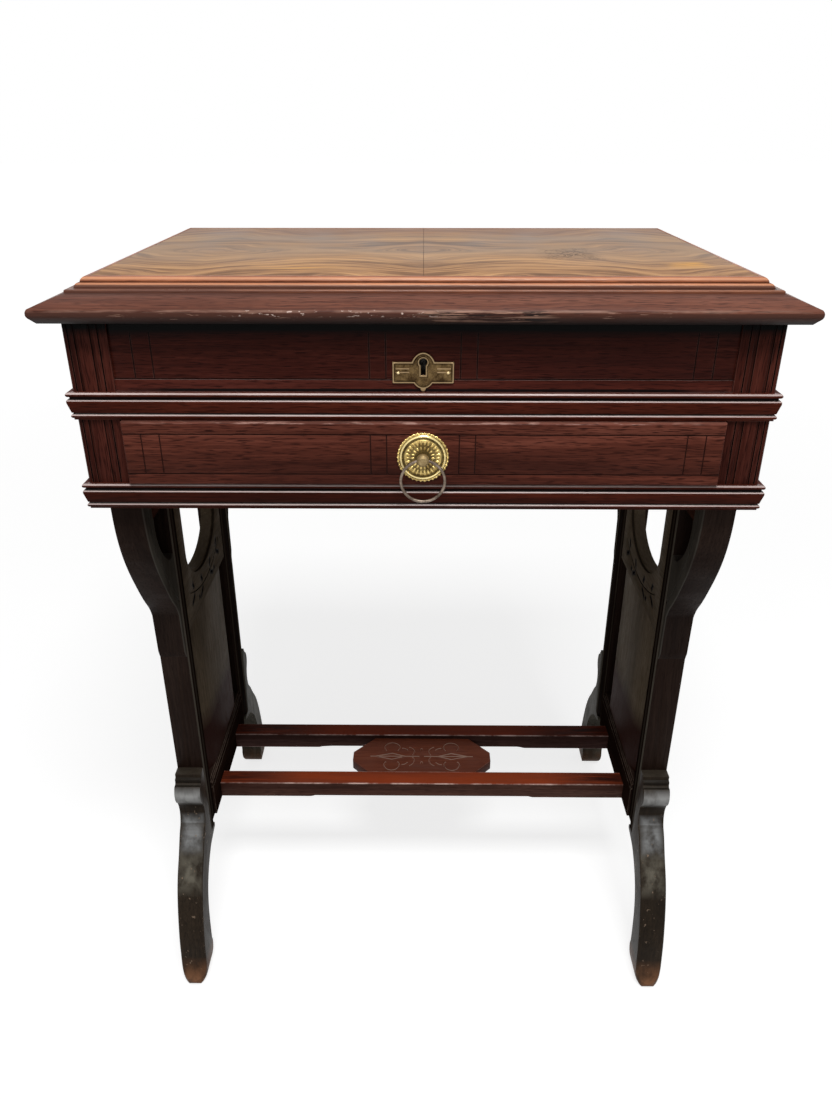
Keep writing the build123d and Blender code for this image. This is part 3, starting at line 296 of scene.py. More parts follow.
# painted shade and grime of the carver's cuts, spread over their rims: Y, Z, half length and lean in degrees
cutShade = dict(spots=((0.0225, 0.3938, 0.0100, 29), (0.0189, 0.4078, 0.0066, -61), (0.0555, 0.4025, 0.0100, 29),
                      (0.0519, 0.4165, 0.0066, -61), (0.0340, 0.3935, 0.0036, 0)),
               half=0.0036, deep=0.006, soft=0.5, tint=(0.002, 0.001, 0.001))
# a stile's inner flank in strips from its front edge to the panel, painted highlights where its moulding catches
# light and a painted shade line at the panel: depth, half width, colour
stileShadingStrips = ((0.1068, 0.0032, (0.135, 0.118, 0.095)), (0.0905, 0.0030, (0.095, 0.082, 0.064)),
               (0.0848, 0.0020, (0.004, 0.002, 0.0015)))


# painted sheen on the collar and knee, grey, fading to olive down the shin; pale specks and a worn toe
def footMarks(x, depth, facing):
    return [
        dict(at=(x, depth * 0.7, 0.204), reach=(0.03, 0.09, 0.014), soft=0.3, facing=facing,
             streak=(60, 60, 25), share=(0.2, 0.5), tint=(0.40, 0.398, 0.39)),
        dict(at=(x, depth * 0.8, 0.159), reach=(0.0135, 0.09, 0.020), soft=0.45, facing=facing,
             streak=(70, 70, 60), share=(0.25, 0.60), tint=(0.245, 0.248, 0.247)),
        dict(at=(x, depth * 0.8, 0.126), reach=(0.018, 0.09, 0.022), soft=0.2, facing=facing,
             streak=(90, 60, 70), share=(0.30, 0.60), tint=(0.150, 0.135, 0.105)),
        dict(at=(x, depth * 0.75, 0.10), reach=(0.03, 0.09, 0.10), streak=(260, 60, 200), share=(0.66, 0.71),
             tint=(0.24, 0.17, 0.12)),
        dict(at=(x, depth, 0.0), reach=(0.03, 0.05, 0.034), soft=0.05, streak=(90, 90, 60),
             share=(0.22, 0.58), tint=(0.25, 0.115, 0.058)),
    ]


for nodeName, ((x, y, z), length, tint) in stretcherEnds.items():
    marks[nodeName] = [dict(at=(end * x, y, z), reach=(length, 0.02, 0.01), soft=0.1, streak=(14, 200, 200),
                            share=(0.25, 0.5), tint=tint) for end in (-1, 1)]
for side, sign in (("left_", -1), ("right_", 1)):
    marks[side + "lower_panel"] = [      # dark reddish foot
        dict(at=(sign * trestle["face"], 0.0, 0.170), reach=(0.0145, 1.0, 0.100), soft=0.72,
             tint=(0.024, 0.0080, 0.0055))]
    marks[side + "arched_rail"] = [
        dict(at=(sign * trestle["face"], end * y, z), reach=(cutShade["deep"], length, cutShade["half"]),
             lean=end * lean, soft=cutShade["soft"], tint=cutShade["tint"])
        for y, z, length, lean in cutShade["spots"] for end in (-1, 1)]
    marks[side + "stiles"] = [
        dict(at=(sign * trestle["flank"], end * depth, 0.35), reach=(0.0030, half, 0.25), soft=0.6,
             streak=(150, 150, 14), share=(0.12, 0.50), tint=tint)
        for end in (-1, 1) for depth, half, tint in stileShadingStrips]
    marks[side + "brackets"] = [      # rims of the pockets, rubbed, with a painted highlight
        dict(at=(sign * trestle["flank"], 0.0, 0.45), reach=(0.0014, 0.20, 0.30), soft=0.8,
             streak=(60, 60, 14), share=(0.12, 0.55), tint=(0.072, 0.064, 0.053))]
    marks[side + "front_foot"] = footMarks(sign * trestle["middle"], -0.19, "frontward")
    marks[side + "back_foot"] = footMarks(sign * trestle["middle"], 0.19, "backward")

# the way the grain runs; what isn't listed runs upright
grainAxes = {
    "X": ["lid_core", "front_panel", "front_rail", "back_board", "well_floor", "bottom_board",
          "mid_moulding_front", "base_moulding_front", "drawer_front", "drawer_back", "drawer_bottom",
          "stretcher_front", "stretcher_rear", "plaque", "lid_cornice", "lid_top_moulding"],
    "Y": ["mid_moulding_sides", "base_moulding_sides", "drawer_sides", "drawer_runners", "foot_dowels",
          *bothEnds("side_board"), *bothEnds("cleat"), *bothEnds("bottom_rail"), *bothEnds("arched_rail")],
}


# object coordinates in the order along, across and through the grain
def grainVector(bench, nodeName, offset):
    axis = next((axis for axis, members in grainAxes.items() if nodeName in members), "Z")
    parts = bench.split(bench.place(bench.point(), offset))
    order = {"X": (0, 1, 2), "Y": (1, 0, 2), "Z": (2, 0, 1)}[axis]
    return [parts[index] for index in order]


def softBox(bench, point, at, reach, soft):
    near = bench.place(point, [-centre / half for centre, half in zip(at, reach)], [1 / half for half in reach])
    x, y, z = bench.split(bench.put("ShaderNodeVectorMath", {0: near}, operation="ABSOLUTE"))
    far = bench.math("MAXIMUM", x, bench.math("MAXIMUM", y, z))
    return bench.span(far, 1.0, soft)


def addMarks(bench, colour, nodeName):
    point = bench.point()
    for spot in marks.get(nodeName, ()):
        near = point
        if "lean" in spot:
            turn = {"Vector": point, "Center": spot["at"], "Angle": math.radians(spot["lean"])}
            near = bench.put("ShaderNodeVectorRotate", turn, rotation_type="X_AXIS")
        mask = softBox(bench, near, spot["at"], spot["reach"], spot.get("soft", markRules["soft"]))
        if "streak" in spot:
            streak = bench.noise(bench.place(point, scale=spot["streak"]), 1.0, 3, 0.6)
            mask = bench.times(mask, bench.span(streak, *spot["share"]))
        if "facing" in spot:
            mask = bench.times(mask, bench.span(bench.mark(spot["facing"]), *markRules["facing"]))
        colour = bench.mix(mask, colour, spot["tint"])
    return colour


# how the grain is drawn: triples are noise scales along, across and through the board, "Span" is a range of noise
# and what it is turned into, "Rough" and "Rise" are shares of roughness and relief
grain = dict(sway=(2.2, 7, 7), swing=0.05, bands=1.6, fibre=(9, 420, 420), pores=(75, 1100, 1100),
             patch=(7, 60, 60), blotch=9.0, rub=38.0, poreSpan=(0.54, 0.66), midSpan=(0.0, 0.55),
             paleSpan=(0.5, 1.0), blotchSpan=(0.35, 0.7, 0.0, 0.35), patchSpan=(0.3, 0.65, 0.55, 1.0),
             rubSpan=(0.40, 0.62, 0.08), hollowSpan=(0.15, 0.50, 0.0), smoothest=-0.07, roughest=0.09,
             poreRough=0.12, wornRough=0.15, fibreRise=0.5, poreRise=-0.6, blotchRise=0.8, relief=(0.22, 0.0006))


def woodMaterial(title, nodeName, look, offset):
    material, bench, shader = newMaterial(title)
    along, across, deep = grainVector(bench, nodeName, offset)
    whole = bench.join(along, across, deep)
    sway = bench.noise(bench.place(whole, scale=grain["sway"]), 1.0, 2)      # slow bend of the grain
    bent = bench.add(across, bench.times(sway, grain["swing"]))
    figure = (grain["bands"], look["figure"], look["figure"])
    bands = bench.noise(bench.stretch((along, bent, deep), figure), 1.0, 3, 0.6)
    fibre = bench.noise(bench.stretch((along, bent, deep), grain["fibre"]), 1.0, 3, 0.65)
    pores = bench.noise(bench.stretch((along, across, deep), grain["pores"]), 1.0, 1)
    blotch = bench.noise(whole, grain["blotch"], 4, 0.6)
    pore = bench.span(pores, *grain["poreSpan"])
    tone = bench.add(bench.span(bands, *usual, 0.0, 0.6), bench.span(fibre, *usual, 0.0, 0.4))
    colour = bench.mix(bench.span(tone, *grain["midSpan"]), look["deep"], look["mid"])
    colour = bench.mix(bench.span(tone, *grain["paleSpan"]), colour, look["pale"])
    colour = bench.mix(bench.span(blotch, *grain["blotchSpan"]), colour, look["deep"])
    colour = bench.mix(bench.times(pore, look["pores"]), colour, look["deep"])
    # painted highlight on the upper sides, partly rubbed wear, in patches
    start, full, fade, gone = look.get("band", plain["band"])
    upward = bench.mark("upward")
    up = bench.times(bench.span(upward, start, full), bench.span(upward, gone, fade))
    cloud = bench.noise(bench.place(whole, scale=grain["patch"]), 1.0, 3)
    patch = bench.add(bench.span(cloud, *grain["patchSpan"]), bench.times(tone, 0.2))
    colour = bench.mix(bench.times(up, patch, look["rubbed"]), colour, look["lit"])
    # worn arrises with a painted highlight, then grime and painted shade in the recesses, then the piece's own
    # marks
    rub = bench.noise(whole, grain["rub"], 4, 0.7)
    worn = bench.times(bench.mark("arris"), bench.span(rub, *grain["rubSpan"], look["wear"]))
    colour = bench.mix(worn, colour, look["worn"])
    grime = bench.span(bench.mark("recess"), *grain["hollowSpan"], look.get("soak", plain["soak"]))
    colour = bench.mix(grime, colour, look["grime"])
    feed(bench, addMarks(bench, colour, nodeName), shader, "Base Color")
    rough = bench.span(blotch, *usual, look["rough"] + grain["smoothest"], look["rough"] + grain["roughest"])
    rough = bench.add(rough, bench.times(pore, grain["poreRough"]))
    feed(bench, bench.math("ADD", rough, bench.times(worn, grain["wornRough"]), True), shader, "Roughness")
    height = bench.add(bench.times(fibre, grain["fibreRise"]), bench.times(pore, grain["poreRise"]),
                       bench.times(blotch, grain["blotchRise"]))
    feed(bench, bench.bump(*grain["relief"], height), shader, "Normal")
    shader.inputs["Specular IOR Level"].default_value = look["sheen"]
    return material


# book-matched crotch veneer of the lid: flames run round two eyes, mirrored at the centre seam; spots lie on the
# top, and the painted sheen haze and the dark back edge are ranges of Y with the strength they are turned into
veneer = dict(deep=(0.085, 0.042, 0.024), mid=(0.270, 0.142, 0.073), pale=(0.580, 0.325, 0.150),
              sheenHaze=(0.265, 0.215, 0.172), gold=(0.72, 0.37, 0.09), crack=(0.075, 0.048, 0.034),
              back=(0.27, 0.135, 0.085), eyes=((0.0, -0.020), (0.180, -0.022)), stretch=1.7, blend=0.06,
              flame=(70, 7, 7), streak=(210, 9, 9), fibre=(900, 22, 22), level=0.739, thick=0.01,
              goldSpot=dict(at=(0.211, -0.104), reach=(0.020, 0.020), soft=0.2),
              goldStreaks=dict(at=(-0.088, -0.117), reach=(0.055, 0.022), soft=0.1),
              burl=dict(at=(0.125, -0.039), reach=(0.030, 0.045), soft=0.3), sheenFront=(-0.135, -0.03, 0.0, 0.58),
              sheenBack=(0.135, 0.07, 0.35, 1.0), backEdge=(0.075, 0.130, 0.0, 0.65), rough=0.44, sheen=0.05,
              relief=(0.12, 0.0005))


def topSpot(bench, point, spot):
    at, reach = (*spot["at"], veneer["level"]), (*spot["reach"], veneer["thick"])
    return softBox(bench, point, at, reach, spot["soft"])


# how far a point is from the nearer eye, in laps that are half oval and half angular
def eyeLaps(bench, half, y):
    laps = []
    for eyeX, eyeY in veneer["eyes"]:
        offX = bench.times(bench.add(half, -eyeX), 1 / veneer["stretch"])
        offY = bench.add(y, -eyeY)
        squareY = bench.times(offY, offY)
        oval = bench.math("SQRT", bench.add(bench.times(offX, offX), squareY, 4e-4))
        straight = bench.add(bench.math("ABSOLUTE", offX), bench.math("SQRT", bench.add(squareY, 9e-5)))
        laps.append(bench.add(bench.times(oval, 0.35), bench.times(straight, 0.5)))
    return bench.put("ShaderNodeMath", {0: laps[0], 1: laps[1], 2: veneer["blend"]}, operation="SMOOTH_MIN")


def veneerMaterial(name):
    look = veneer
    material, bench, shader = newMaterial(name)
    point = bench.point()
    x, y, z = bench.split(point)
    half = bench.math("ABSOLUTE", x)
    swirl = bench.noise(bench.join(bench.times(half, 0.8), y, 0.37), 9.0, 2, 0.5)
    ripple = bench.noise(bench.join(bench.times(half, 0.5), y, 1.61), 46.0, 3, 0.6)
    lap = bench.add(eyeLaps(bench, half, y), bench.times(swirl, 0.075), bench.times(ripple, 0.004))
    flame = bench.noise(bench.stretch((lap, half, y), look["flame"]), 1.0, 3, 0.5)
    streak = bench.noise(bench.stretch((lap, half, y), look["streak"]), 1.0, 3, 0.6)
    fibre = bench.noise(bench.stretch((lap, half, y), look["fibre"]), 1.0, 2, 0.6)
    mottle = bench.noise(bench.join(bench.times(half, 14), bench.times(y, 12), 0.5), 1.0, 3)
    tone = bench.add(bench.span(flame, 0.32, 0.68, 0.0, 0.42), bench.span(streak, 0.32, 0.68, 0.0, 0.32),
                     bench.span(fibre, *usual, 0.0, 0.20), bench.span(mottle, *usual, -0.10, 0.16))
    colour = bench.mix(bench.span(tone, 0.10, 0.50), look["deep"], look["mid"])
    colour = bench.mix(bench.span(tone, 0.42, 0.85), colour, look["pale"])
    # painted sheen haze on the middle of the lid, and a darker back edge
    middle = bench.times(bench.span(y, *look["sheenFront"]), bench.span(y, *look["sheenBack"]))
    cloud = bench.noise(bench.join(bench.times(half, 0.7), y, 2.2), 11.0, 3)
    colour = bench.mix(bench.times(middle, bench.span(cloud, 0.3, 0.65, 0.35, 1.0)), colour, look["sheenHaze"])
    edge = bench.times(bench.span(y, *look["backEdge"]), bench.span(swirl, 0.35, 0.6, 0.5, 1.0))
    colour = bench.mix(edge, colour, look["back"])
    # golden spot, golden streaks and the cracked burl
    spot = topSpot(bench, point, look["goldSpot"])
    colour = bench.mix(bench.times(spot, bench.span(ripple, 0.3, 0.6)), colour, look["gold"])
    streaks = topSpot(bench, point, look["goldStreaks"])
    colour = bench.mix(bench.times(streaks, bench.span(streak, 0.52, 0.68)), colour, look["gold"])
    burl = topSpot(bench, point, look["burl"])
    lines = bench.noise(bench.join(bench.times(x, 50), bench.times(y, 34), 0.9), 1.0, 4, 0.7, 1.6)
    split = bench.math("SUBTRACT", 1.0, bench.span(bench.math("ABSOLUTE", bench.add(lines, -0.5)), 0.0, 0.06))
    colour = bench.mix(bench.times(burl, bench.add(bench.times(split, 0.75), 0.18)), colour, look["crack"])
    colour = bench.mix(bench.times(bench.mark("arris"), 0.5), colour, look["deep"])
    feed(bench, colour, shader, "Base Color")
    feed(bench, bench.span(mottle, *usual, look["rough"] - 0.06, look["rough"] + 0.10), shader, "Roughness")
    height = bench.add(bench.times(fibre, 0.5), bench.times(ripple, 0.7))
    feed(bench, bench.bump(*look["relief"], height), shader, "Normal")
    shader.inputs["Specular IOR Level"].default_value = look["sheen"]
    return material


# metal fittings: bright where handled, dull where tarnished, "edge" where a shell is marked as rubbed
metals = {
    "brass": dict(bright=(0.56, 0.40, 0.15), dull=(0.20, 0.13, 0.055), edge=(0.70, 0.52, 0.22), rough=0.34),
    "plate": dict(bright=(0.180, 0.116, 0.050), dull=(0.046, 0.026, 0.011), edge=(0.39, 0.275, 0.150),
                  rough=0.42),
    "rosette": dict(bright=(0.92, 0.70, 0.27), dull=(0.29, 0.195, 0.066), edge=(1.0, 0.85, 0.44), rough=0.20),
    "knob": dict(bright=(0.44, 0.335, 0.175), dull=(0.27, 0.195, 0.095), edge=(0.50, 0.40, 0.24), rough=0.50),
    "pin": dict(bright=(0.92, 0.74, 0.42), dull=(0.80, 0.62, 0.33), edge=(0.95, 0.80, 0.50), rough=0.40),
    "bronze": dict(bright=(0.30, 0.235, 0.185), dull=(0.095, 0.070, 0.052), edge=(0.45, 0.38, 0.32),
                   rough=0.36),
    "iron": dict(bright=(0.16, 0.15, 0.14), dull=(0.055, 0.045, 0.040), edge=(0.25, 0.24, 0.23), rough=0.5),
}
metalLooks = {"pull_post": "knob", "pull_ring": "bronze", "escutcheon_pins": "pin"}
tarnish = dict(cloud=130.0, speck=900.0, cut=(0.40, 0.62), grime=(0.022, 0.014, 0.006), relief=(0.2, 0.0003))


def metalMaterial(name, finish, offset):
    look = metals[finish]
    material, bench, shader = newMaterial(name)
    point = bench.place(bench.point(), offset)
    cloud = bench.noise(point, tarnish["cloud"], 5, 0.65)
    speck = bench.noise(point, tarnish["speck"], 3, 0.6)
    mask = bench.span(bench.add(bench.times(cloud, 0.7), bench.times(speck, 0.3)), *tarnish["cut"])
    grime = bench.mark("recess")
    colour = bench.mix(mask, look["dull"], look["bright"])
    colour = bench.mix(bench.times(grime, 0.9), colour, tarnish["grime"])
    colour = bench.mix(bench.times(bench.mark("shine"), 0.8), colour, look["edge"])
    feed(bench, colour, shader, "Base Color")
    rough = bench.span(mask, 0.0, 1.0, look["rough"] + 0.18, look["rough"] - 0.04)
    feed(bench, bench.add(rough, bench.times(grime, 0.25)), shader, "Roughness")
    feed(bench, bench.bump(*tarnish["relief"], cloud), shader, "Normal")
    shader.inputs["Metallic"].default_value = 1.0
    return material


# eased copies: a merged copy of a node with its arrises rounded over; its faces carry the marks named here
faceMarks = ("arris", "recess", "upward", "frontward", "backward")
easing = dict(width=0.0006, angle=32.0, longEdge=0.05, weld=2e-6, flat=0.6, smooth=28.0, polishFrom=0.25,
              flankFrom=0.7, cutFrom=0.2)
longArrises = ["stretcher_front", "stretcher_rear"]      # only their long edges are eased
easings = {nodeName: width for width, members in (
    (0.0011, longArrises), (0.0008, bothEnds("arched_rail")),
    (0.0003, ["front_posts", "back_posts", *bothEnds("lid_top")]), (0.0002, ["plaque", *bothEnds("lower_panel")]),
) for nodeName in members}
probed = ["front_posts", "front_panel", "drawer_front", "mid_moulding_front", "base_moulding_front",
          "mid_moulding_sides", "base_moulding_sides", "lid_cornice", "lid_top_moulding", "plaque",
          *bothEnds("arched_rail"), *bothEnds("brackets"), *bothEnds("stiles"), *bothEnds("front_foot"),
          *bothEnds("back_foot")]
probe = dict(length=0.007, stripWidth=0.006, rays=8, lift=2e-5, rise=0.62, lean=0.78)


# a narrow face is a recess as far as rays leaning out from it soon meet the piece again
def markRecesses(bm):
    layer = bm.faces.layers.float["recess"]
    tree = BVHTree.FromBMesh(bm)
    for face in bm.faces:
        if face.calc_area() > probe["stripWidth"] * max(edge.calc_length() for edge in face.edges):
            continue
        start = face.calc_center_median() + face.normal * probe["lift"]
        side = face.normal.orthogonal().normalized()
        other = face.normal.cross(side)
        hits = 0
        for step in range(probe["rays"]):
            turn = math.tau * step / probe["rays"]
            ray = face.normal * probe["rise"] + (side * math.cos(turn) + other * math.sin(turn)) * probe["lean"]
            hits += tree.ray_cast(start, ray, probe["length"])[0] is not None
        face[layer] = hits / probe["rays"]


# whether a face takes its piece's second material: the polished or the dry one
def takesSecond(nodeName, normal, cut):
    if nodeName in polished:
        return normal.z > easing["polishFrom"]
    if nodeName in dryFlanks:
        return abs(normal.x) > easing["flankFrom"]
    return nodeName in dryCuts and cut


def settle(piece, nodeName):
    bpy.context.scene.collection.objects.link(piece)
    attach(piece, nodes[nodeName]["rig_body"])
    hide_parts(nodeName)


# feet end in a blunt rounded toe: the last stretch narrows as a half oval
toe = dict(centre=trestle["middle"], start=0.1800, tip=0.1987, height=0.030, fade=0.014, blunt=5, least=0.42)


def clamped(value):
    return min(max(value, 0.0), 1.0)


def roundToe(bm, nodeName):
    centre = toe["centre"] * (-1 if nodeName.startswith("left") else 1)
    for vert in bm.verts:
        reach = clamped((abs(vert.co.y) - toe["start"]) / (toe["tip"] - toe["start"]))
        low = clamped((toe["height"] - vert.co.z) / toe["fade"])
        narrow = max(math.sqrt(1.0 - reach ** toe["blunt"]), toe["least"])
        vert.co.x = centre + (vert.co.x - centre) * (1.0 - (1.0 - narrow) * low)


def easedCopy(nodeName):
    mesh = bpy.data.meshes.new(nodeName + "Eased")
    bm = bmesh.new()
    bm.from_mesh(nodes[nodeName].data)
    layers = bm.faces.layers.float
    for title in faceMarks:      # made before the bevel; a new layer voids what was fetched earlier
        layers.new(title)
    arris, recess, upward, frontward, backward = [layers[title] for title in faceMarks]
    bmesh.ops.remove_doubles(bm, verts=bm.verts, dist=easing["weld"])
    bmesh.ops.dissolve_limit(bm, angle_limit=math.radians(easing["flat"]), verts=bm.verts, edges=bm.edges,
                             delimit={"NORMAL"})
    shortest = easing["longEdge"] if nodeName in longArrises else 0.0
    sharp = [edge for edge in bm.edges if len(edge.link_faces) == 2 and edge.calc_length() > shortest
             and edge.calc_face_angle(0.0) > math.radians(easing["angle"])]
    made = bmesh.ops.bevel(bm, geom=sharp, offset=easings.get(nodeName, easing["width"]), offset_type="OFFSET",
                           segments=2, profile=0.5, affect="EDGES", clamp_overlap=True, harden_normals=False)
    for face in made["faces"]:
        face[arris] = 1.0
    if nodeName.endswith("_foot"):
        roundToe(bm, nodeName)
    bm.normal_update()
    for face in bm.faces:
        face.smooth = True
        face[upward] = max(face.normal.z, 0.0)
        face[frontward] = max(-face.normal.y, 0.0)
        face[backward] = max(face.normal.y, 0.0)
    if nodeName in probed:
        markRecesses(bm)
    for face in bm.faces:
        cut = face[recess] > easing["cutFrom"] or face[arris] > 0.5
        face.material_index = int(takesSecond(nodeName, face.normal, cut))
    bm.to_mesh(mesh)
    bm.free()
    mesh.set_sharp_from_angle(angle=math.radians(easing["smooth"]))
    piece = bpy.data.objects.new(nodeName + "_eased", mesh)
    settle(piece, nodeName)
    return piece


for nodeName, node in nodes.items():
    slot, offset = slots[nodeName], pieceOffset(nodeName)
    if slot in metals:
        materials = [metalMaterial(nodeName + "Metal", metalLooks.get(nodeName, slot), offset)]
    elif slot == "lid_veneer":
        materials = [veneerMaterial(nodeName + "Veneer")]
    else:
        look = woods[finishes.get(nodeName, slot)]
        materials = [woodMaterial(nodeName + "Wood", nodeName, look, offset)]
        if nodeName in polished:
            bright = dict(look, sheen=look.get("polish", plain["polish"]))
            materials.append(woodMaterial(nodeName + "PolishWood", nodeName, bright, offset))
        elif nodeName in dryFlanks + dryCuts:
            materials.append(woodMaterial(nodeName + "DryWood", nodeName, dict(look, sheen=0.0), offset))
    if slot in metals or nodeName == "foot_dowels":      # these show their CAD mesh
        target = node
        target.data.materials.clear()
    else:
        target = easedCopy(nodeName)
    for material in materials:
        target.data.materials.append(material)
print("woods and metals dressed")


# geometry trees: one sets a piece round a ring, one strews a piece over a face
def newTree(name, sockets):
    tree = bpy.data.node_groups.new(name, "GeometryNodeTree")
    for title, kind in sockets:
        tree.interface.new_socket(title, in_out="INPUT", socket_type=kind)
    tree.interface.new_socket("Geometry", in_out="OUTPUT", socket_type="NodeSocketGeometry")
    given = tree.nodes.new("NodeGroupInput")
    result = tree.nodes.new("NodeGroupOutput")
    return tree, Bench(tree), given.outputs, result.inputs


def finishTree(bench, points, turn, given, result):
    piece = bench.put("GeometryNodeObjectInfo", {"Object": given["Piece"]}, out="Geometry")
    placed = bench.put("GeometryNodeInstanceOnPoints", {"Points": points, "Instance": piece, "Rotation": turn})
    real = bench.put("GeometryNodeRealizeInstances", {"Geometry": placed})
    done = bench.put("GeometryNodeSetMaterial", {"Geometry": real, "Material": given["Finish"]})
    bench.tree.links.new(done, result["Geometry"])


def ringTree():
    tree, bench, given, result = newTree("ringOfPieces", [
        ("Piece", "NodeSocketObject"), ("Count", "NodeSocketInt"), ("Radius", "NodeSocketFloat"),
        ("Finish", "NodeSocketMaterial")])
    circle = bench.put("GeometryNodeMeshCircle", {"Vertices": given["Count"], "Radius": given["Radius"]})
    turn = bench.times(bench.put("GeometryNodeInputIndex"), bench.math("DIVIDE", math.tau, given["Count"]))
    finishTree(bench, circle, bench.join(0.0, 0.0, turn), given, result)
    return tree


def strewTree():
    tree, bench, given, result = newTree("strewnPieces", [
        ("Ground", "NodeSocketObject"), ("Piece", "NodeSocketObject"), ("Spacing", "NodeSocketFloat"),
        ("Density", "NodeSocketFloat"), ("Seed", "NodeSocketInt"), ("Finish", "NodeSocketMaterial")])
    ground = bench.put("GeometryNodeObjectInfo", {"Object": given["Ground"]}, out="Geometry")
    points = bench.put("GeometryNodeDistributePointsOnFaces", {
        "Mesh": ground, "Distance Min": given["Spacing"], "Density Max": given["Density"],
        "Seed": given["Seed"]}, distribute_method="POISSON")
    finishTree(bench, points, (0.0, 0.0, 0.0), given, result)
    return tree


def grow(tree, values):
    host = bpy.data.objects.new("host", bpy.data.meshes.new("host"))
    bpy.context.scene.collection.objects.link(host)
    modifier = host.modifiers.new("grow", "NODES")
    modifier.node_group = tree
    for item in tree.interface.items_tree:
        if item.in_out == "INPUT":
            modifier[item.identifier] = values[item.name]
    bpy.context.view_layer.update()
    mesh = bpy.data.meshes.new_from_object(host.evaluated_get(bpy.context.evaluated_depsgraph_get()))
    bpy.data.objects.remove(host)
    return mesh


def looseObject(name, bm):
    mesh = bpy.data.meshes.new(name)
    bm.to_mesh(mesh)
    bm.free()
    piece = bpy.data.objects.new(name, mesh)
    bpy.context.scene.collection.objects.link(piece)
    return piece


def pebble(name, size, sides=8, rows=5):
    bm = bmesh.new()
    bmesh.ops.create_uvsphere(bm, u_segments=sides, v_segments=rows, radius=1.0)
    bmesh.ops.scale(bm, vec=size, verts=bm.verts)
    return looseObject(name, bm)


# a closed shell from rings of points round one axis: each row gives a reach, which may change with the angle,
# a height, and a mark: above 0 grime, below 0 rubbed bright
def polarShell(rows, count):
    bm = bmesh.new()
    recess = bm.faces.layers.float.new("recess")
    shine = bm.faces.layers.float.new("shine")
    rings = []
    for reach, height, mark in rows:
        ring = []
        for step in range(count):
            angle = math.tau * step / count
            far = reach(angle) if callable(reach) else reach
            ring.append(bm.verts.new((far * math.cos(angle), far * math.sin(angle), height)))
        rings.append((ring, mark))
    for index, (ring, mark) in enumerate(rings):
        following = rings[(index + 1) % len(rings)][0]
        for step in range(count):
            after = (step + 1) % count
            face = bm.faces.new((ring[step], ring[after], following[after], following[step]))
            face[recess] = max(mark, 0.0)
            face[shine] = max(-mark, 0.0)
    bmesh.ops.recalc_face_normals(bm, faces=bm.faces)
    return bm


# a pressed fitting, built facing up round its own axis, is turned to the front and takes a node's place
def hangPressed(bm, meshName, pieceName, nodeName, height, sharp, material):
    low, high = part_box(nodeName)
    bm.transform(Matrix.Translation((0, high.y, height)) @ Matrix.Rotation(math.pi / 2, 4, "X"))
    for face in bm.faces:
        face.smooth = True
    mesh = bpy.data.meshes.new(meshName)
    bm.to_mesh(mesh)
    bm.free()
    mesh.set_sharp_from_angle(angle=math.radians(sharp))
    mesh.materials.append(material)
    settle(bpy.data.objects.new(pieceName, mesh), nodeName)


ringPieces = ringTree()
strewnPieces = strewTree()

# pressed brass rosette behind the ring pull: "edge" rows are set in from the scalloped rim, "profile" rows are
# radii, "crown" meets the bore; lumps have a name, half sizes, a count, and the radius and height of their ring
rimPoints = 38
rosette = dict(points=rimPoints, rim=0.0205, pointDepth=0.0006, bore=0.0033, count=304, sharp=50.0,
               edge=((0.0, 0.0, 0), (0.0, 0.0006, 0), (0.0006, 0.0011, 0.2)),
               profile=((0.0188, 0.0011, 0.8), (0.0183, 0.0013, 0.1), (0.0180, 0.0020, -0.6),
                        (0.0174, 0.0024, -0.8), (0.0167, 0.0022, 0), (0.0163, 0.0015, 0.8), (0.0160, 0.0011, 0.9),
                        (0.0150, 0.0011, 0.8), (0.0147, 0.0016, 0.3), (0.0125, 0.0021, 0.75),
                        (0.0100, 0.0024, 0.8), (0.0075, 0.0026, 0.9), (0.0055, 0.0027, 0.9)),
               crown=(0.0027, 0.9),
               lumps=(("rimBead", (0.0011, 0.0008, 0.0008), rimPoints, 0.0196, 0.0009),
                      ("outerPetal", (0.0023, 0.00115, 0.0008), 26, 0.0123, 0.0022),
                      ("innerPetal", (0.0019, 0.00095, 0.0007), 18, 0.0079, 0.0026)))


def rosetteRim(inset):
    def reach(angle):
        scallop = rosette["pointDepth"] * (1 - abs(math.cos(rosette["points"] * angle / 2)))
        return rosette["rim"] - inset - scallop
    return reach


def buildRosette():
    material = metalMaterial("rosetteBrass", "rosette", (0.3, 0.1, 0.2))
    rows = [(rosette["bore"], 0.0, 0)]
    rows += [(rosetteRim(inset), height, mark) for inset, height, mark in rosette["edge"]]
    rows += [*rosette["profile"], (rosette["bore"], *rosette["crown"])]
    bm = polarShell(rows, rosette["count"])
    for title, size, count, radius, height in rosette["lumps"]:
        lump = pebble(title, size)
        grown = grow(ringPieces, {"Piece": lump, "Count": count, "Radius": radius, "Finish": material})
        grown.transform(Matrix.Translation((0, 0, height)))
        bm.from_mesh(grown)
        bpy.data.objects.remove(lump)
    low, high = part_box("pull_rosette")
    hangPressed(bm, "rosettePressed", "pull_rosette_pressed", "pull_rosette", (low.z + high.z) / 2,
                rosette["sharp"], material)


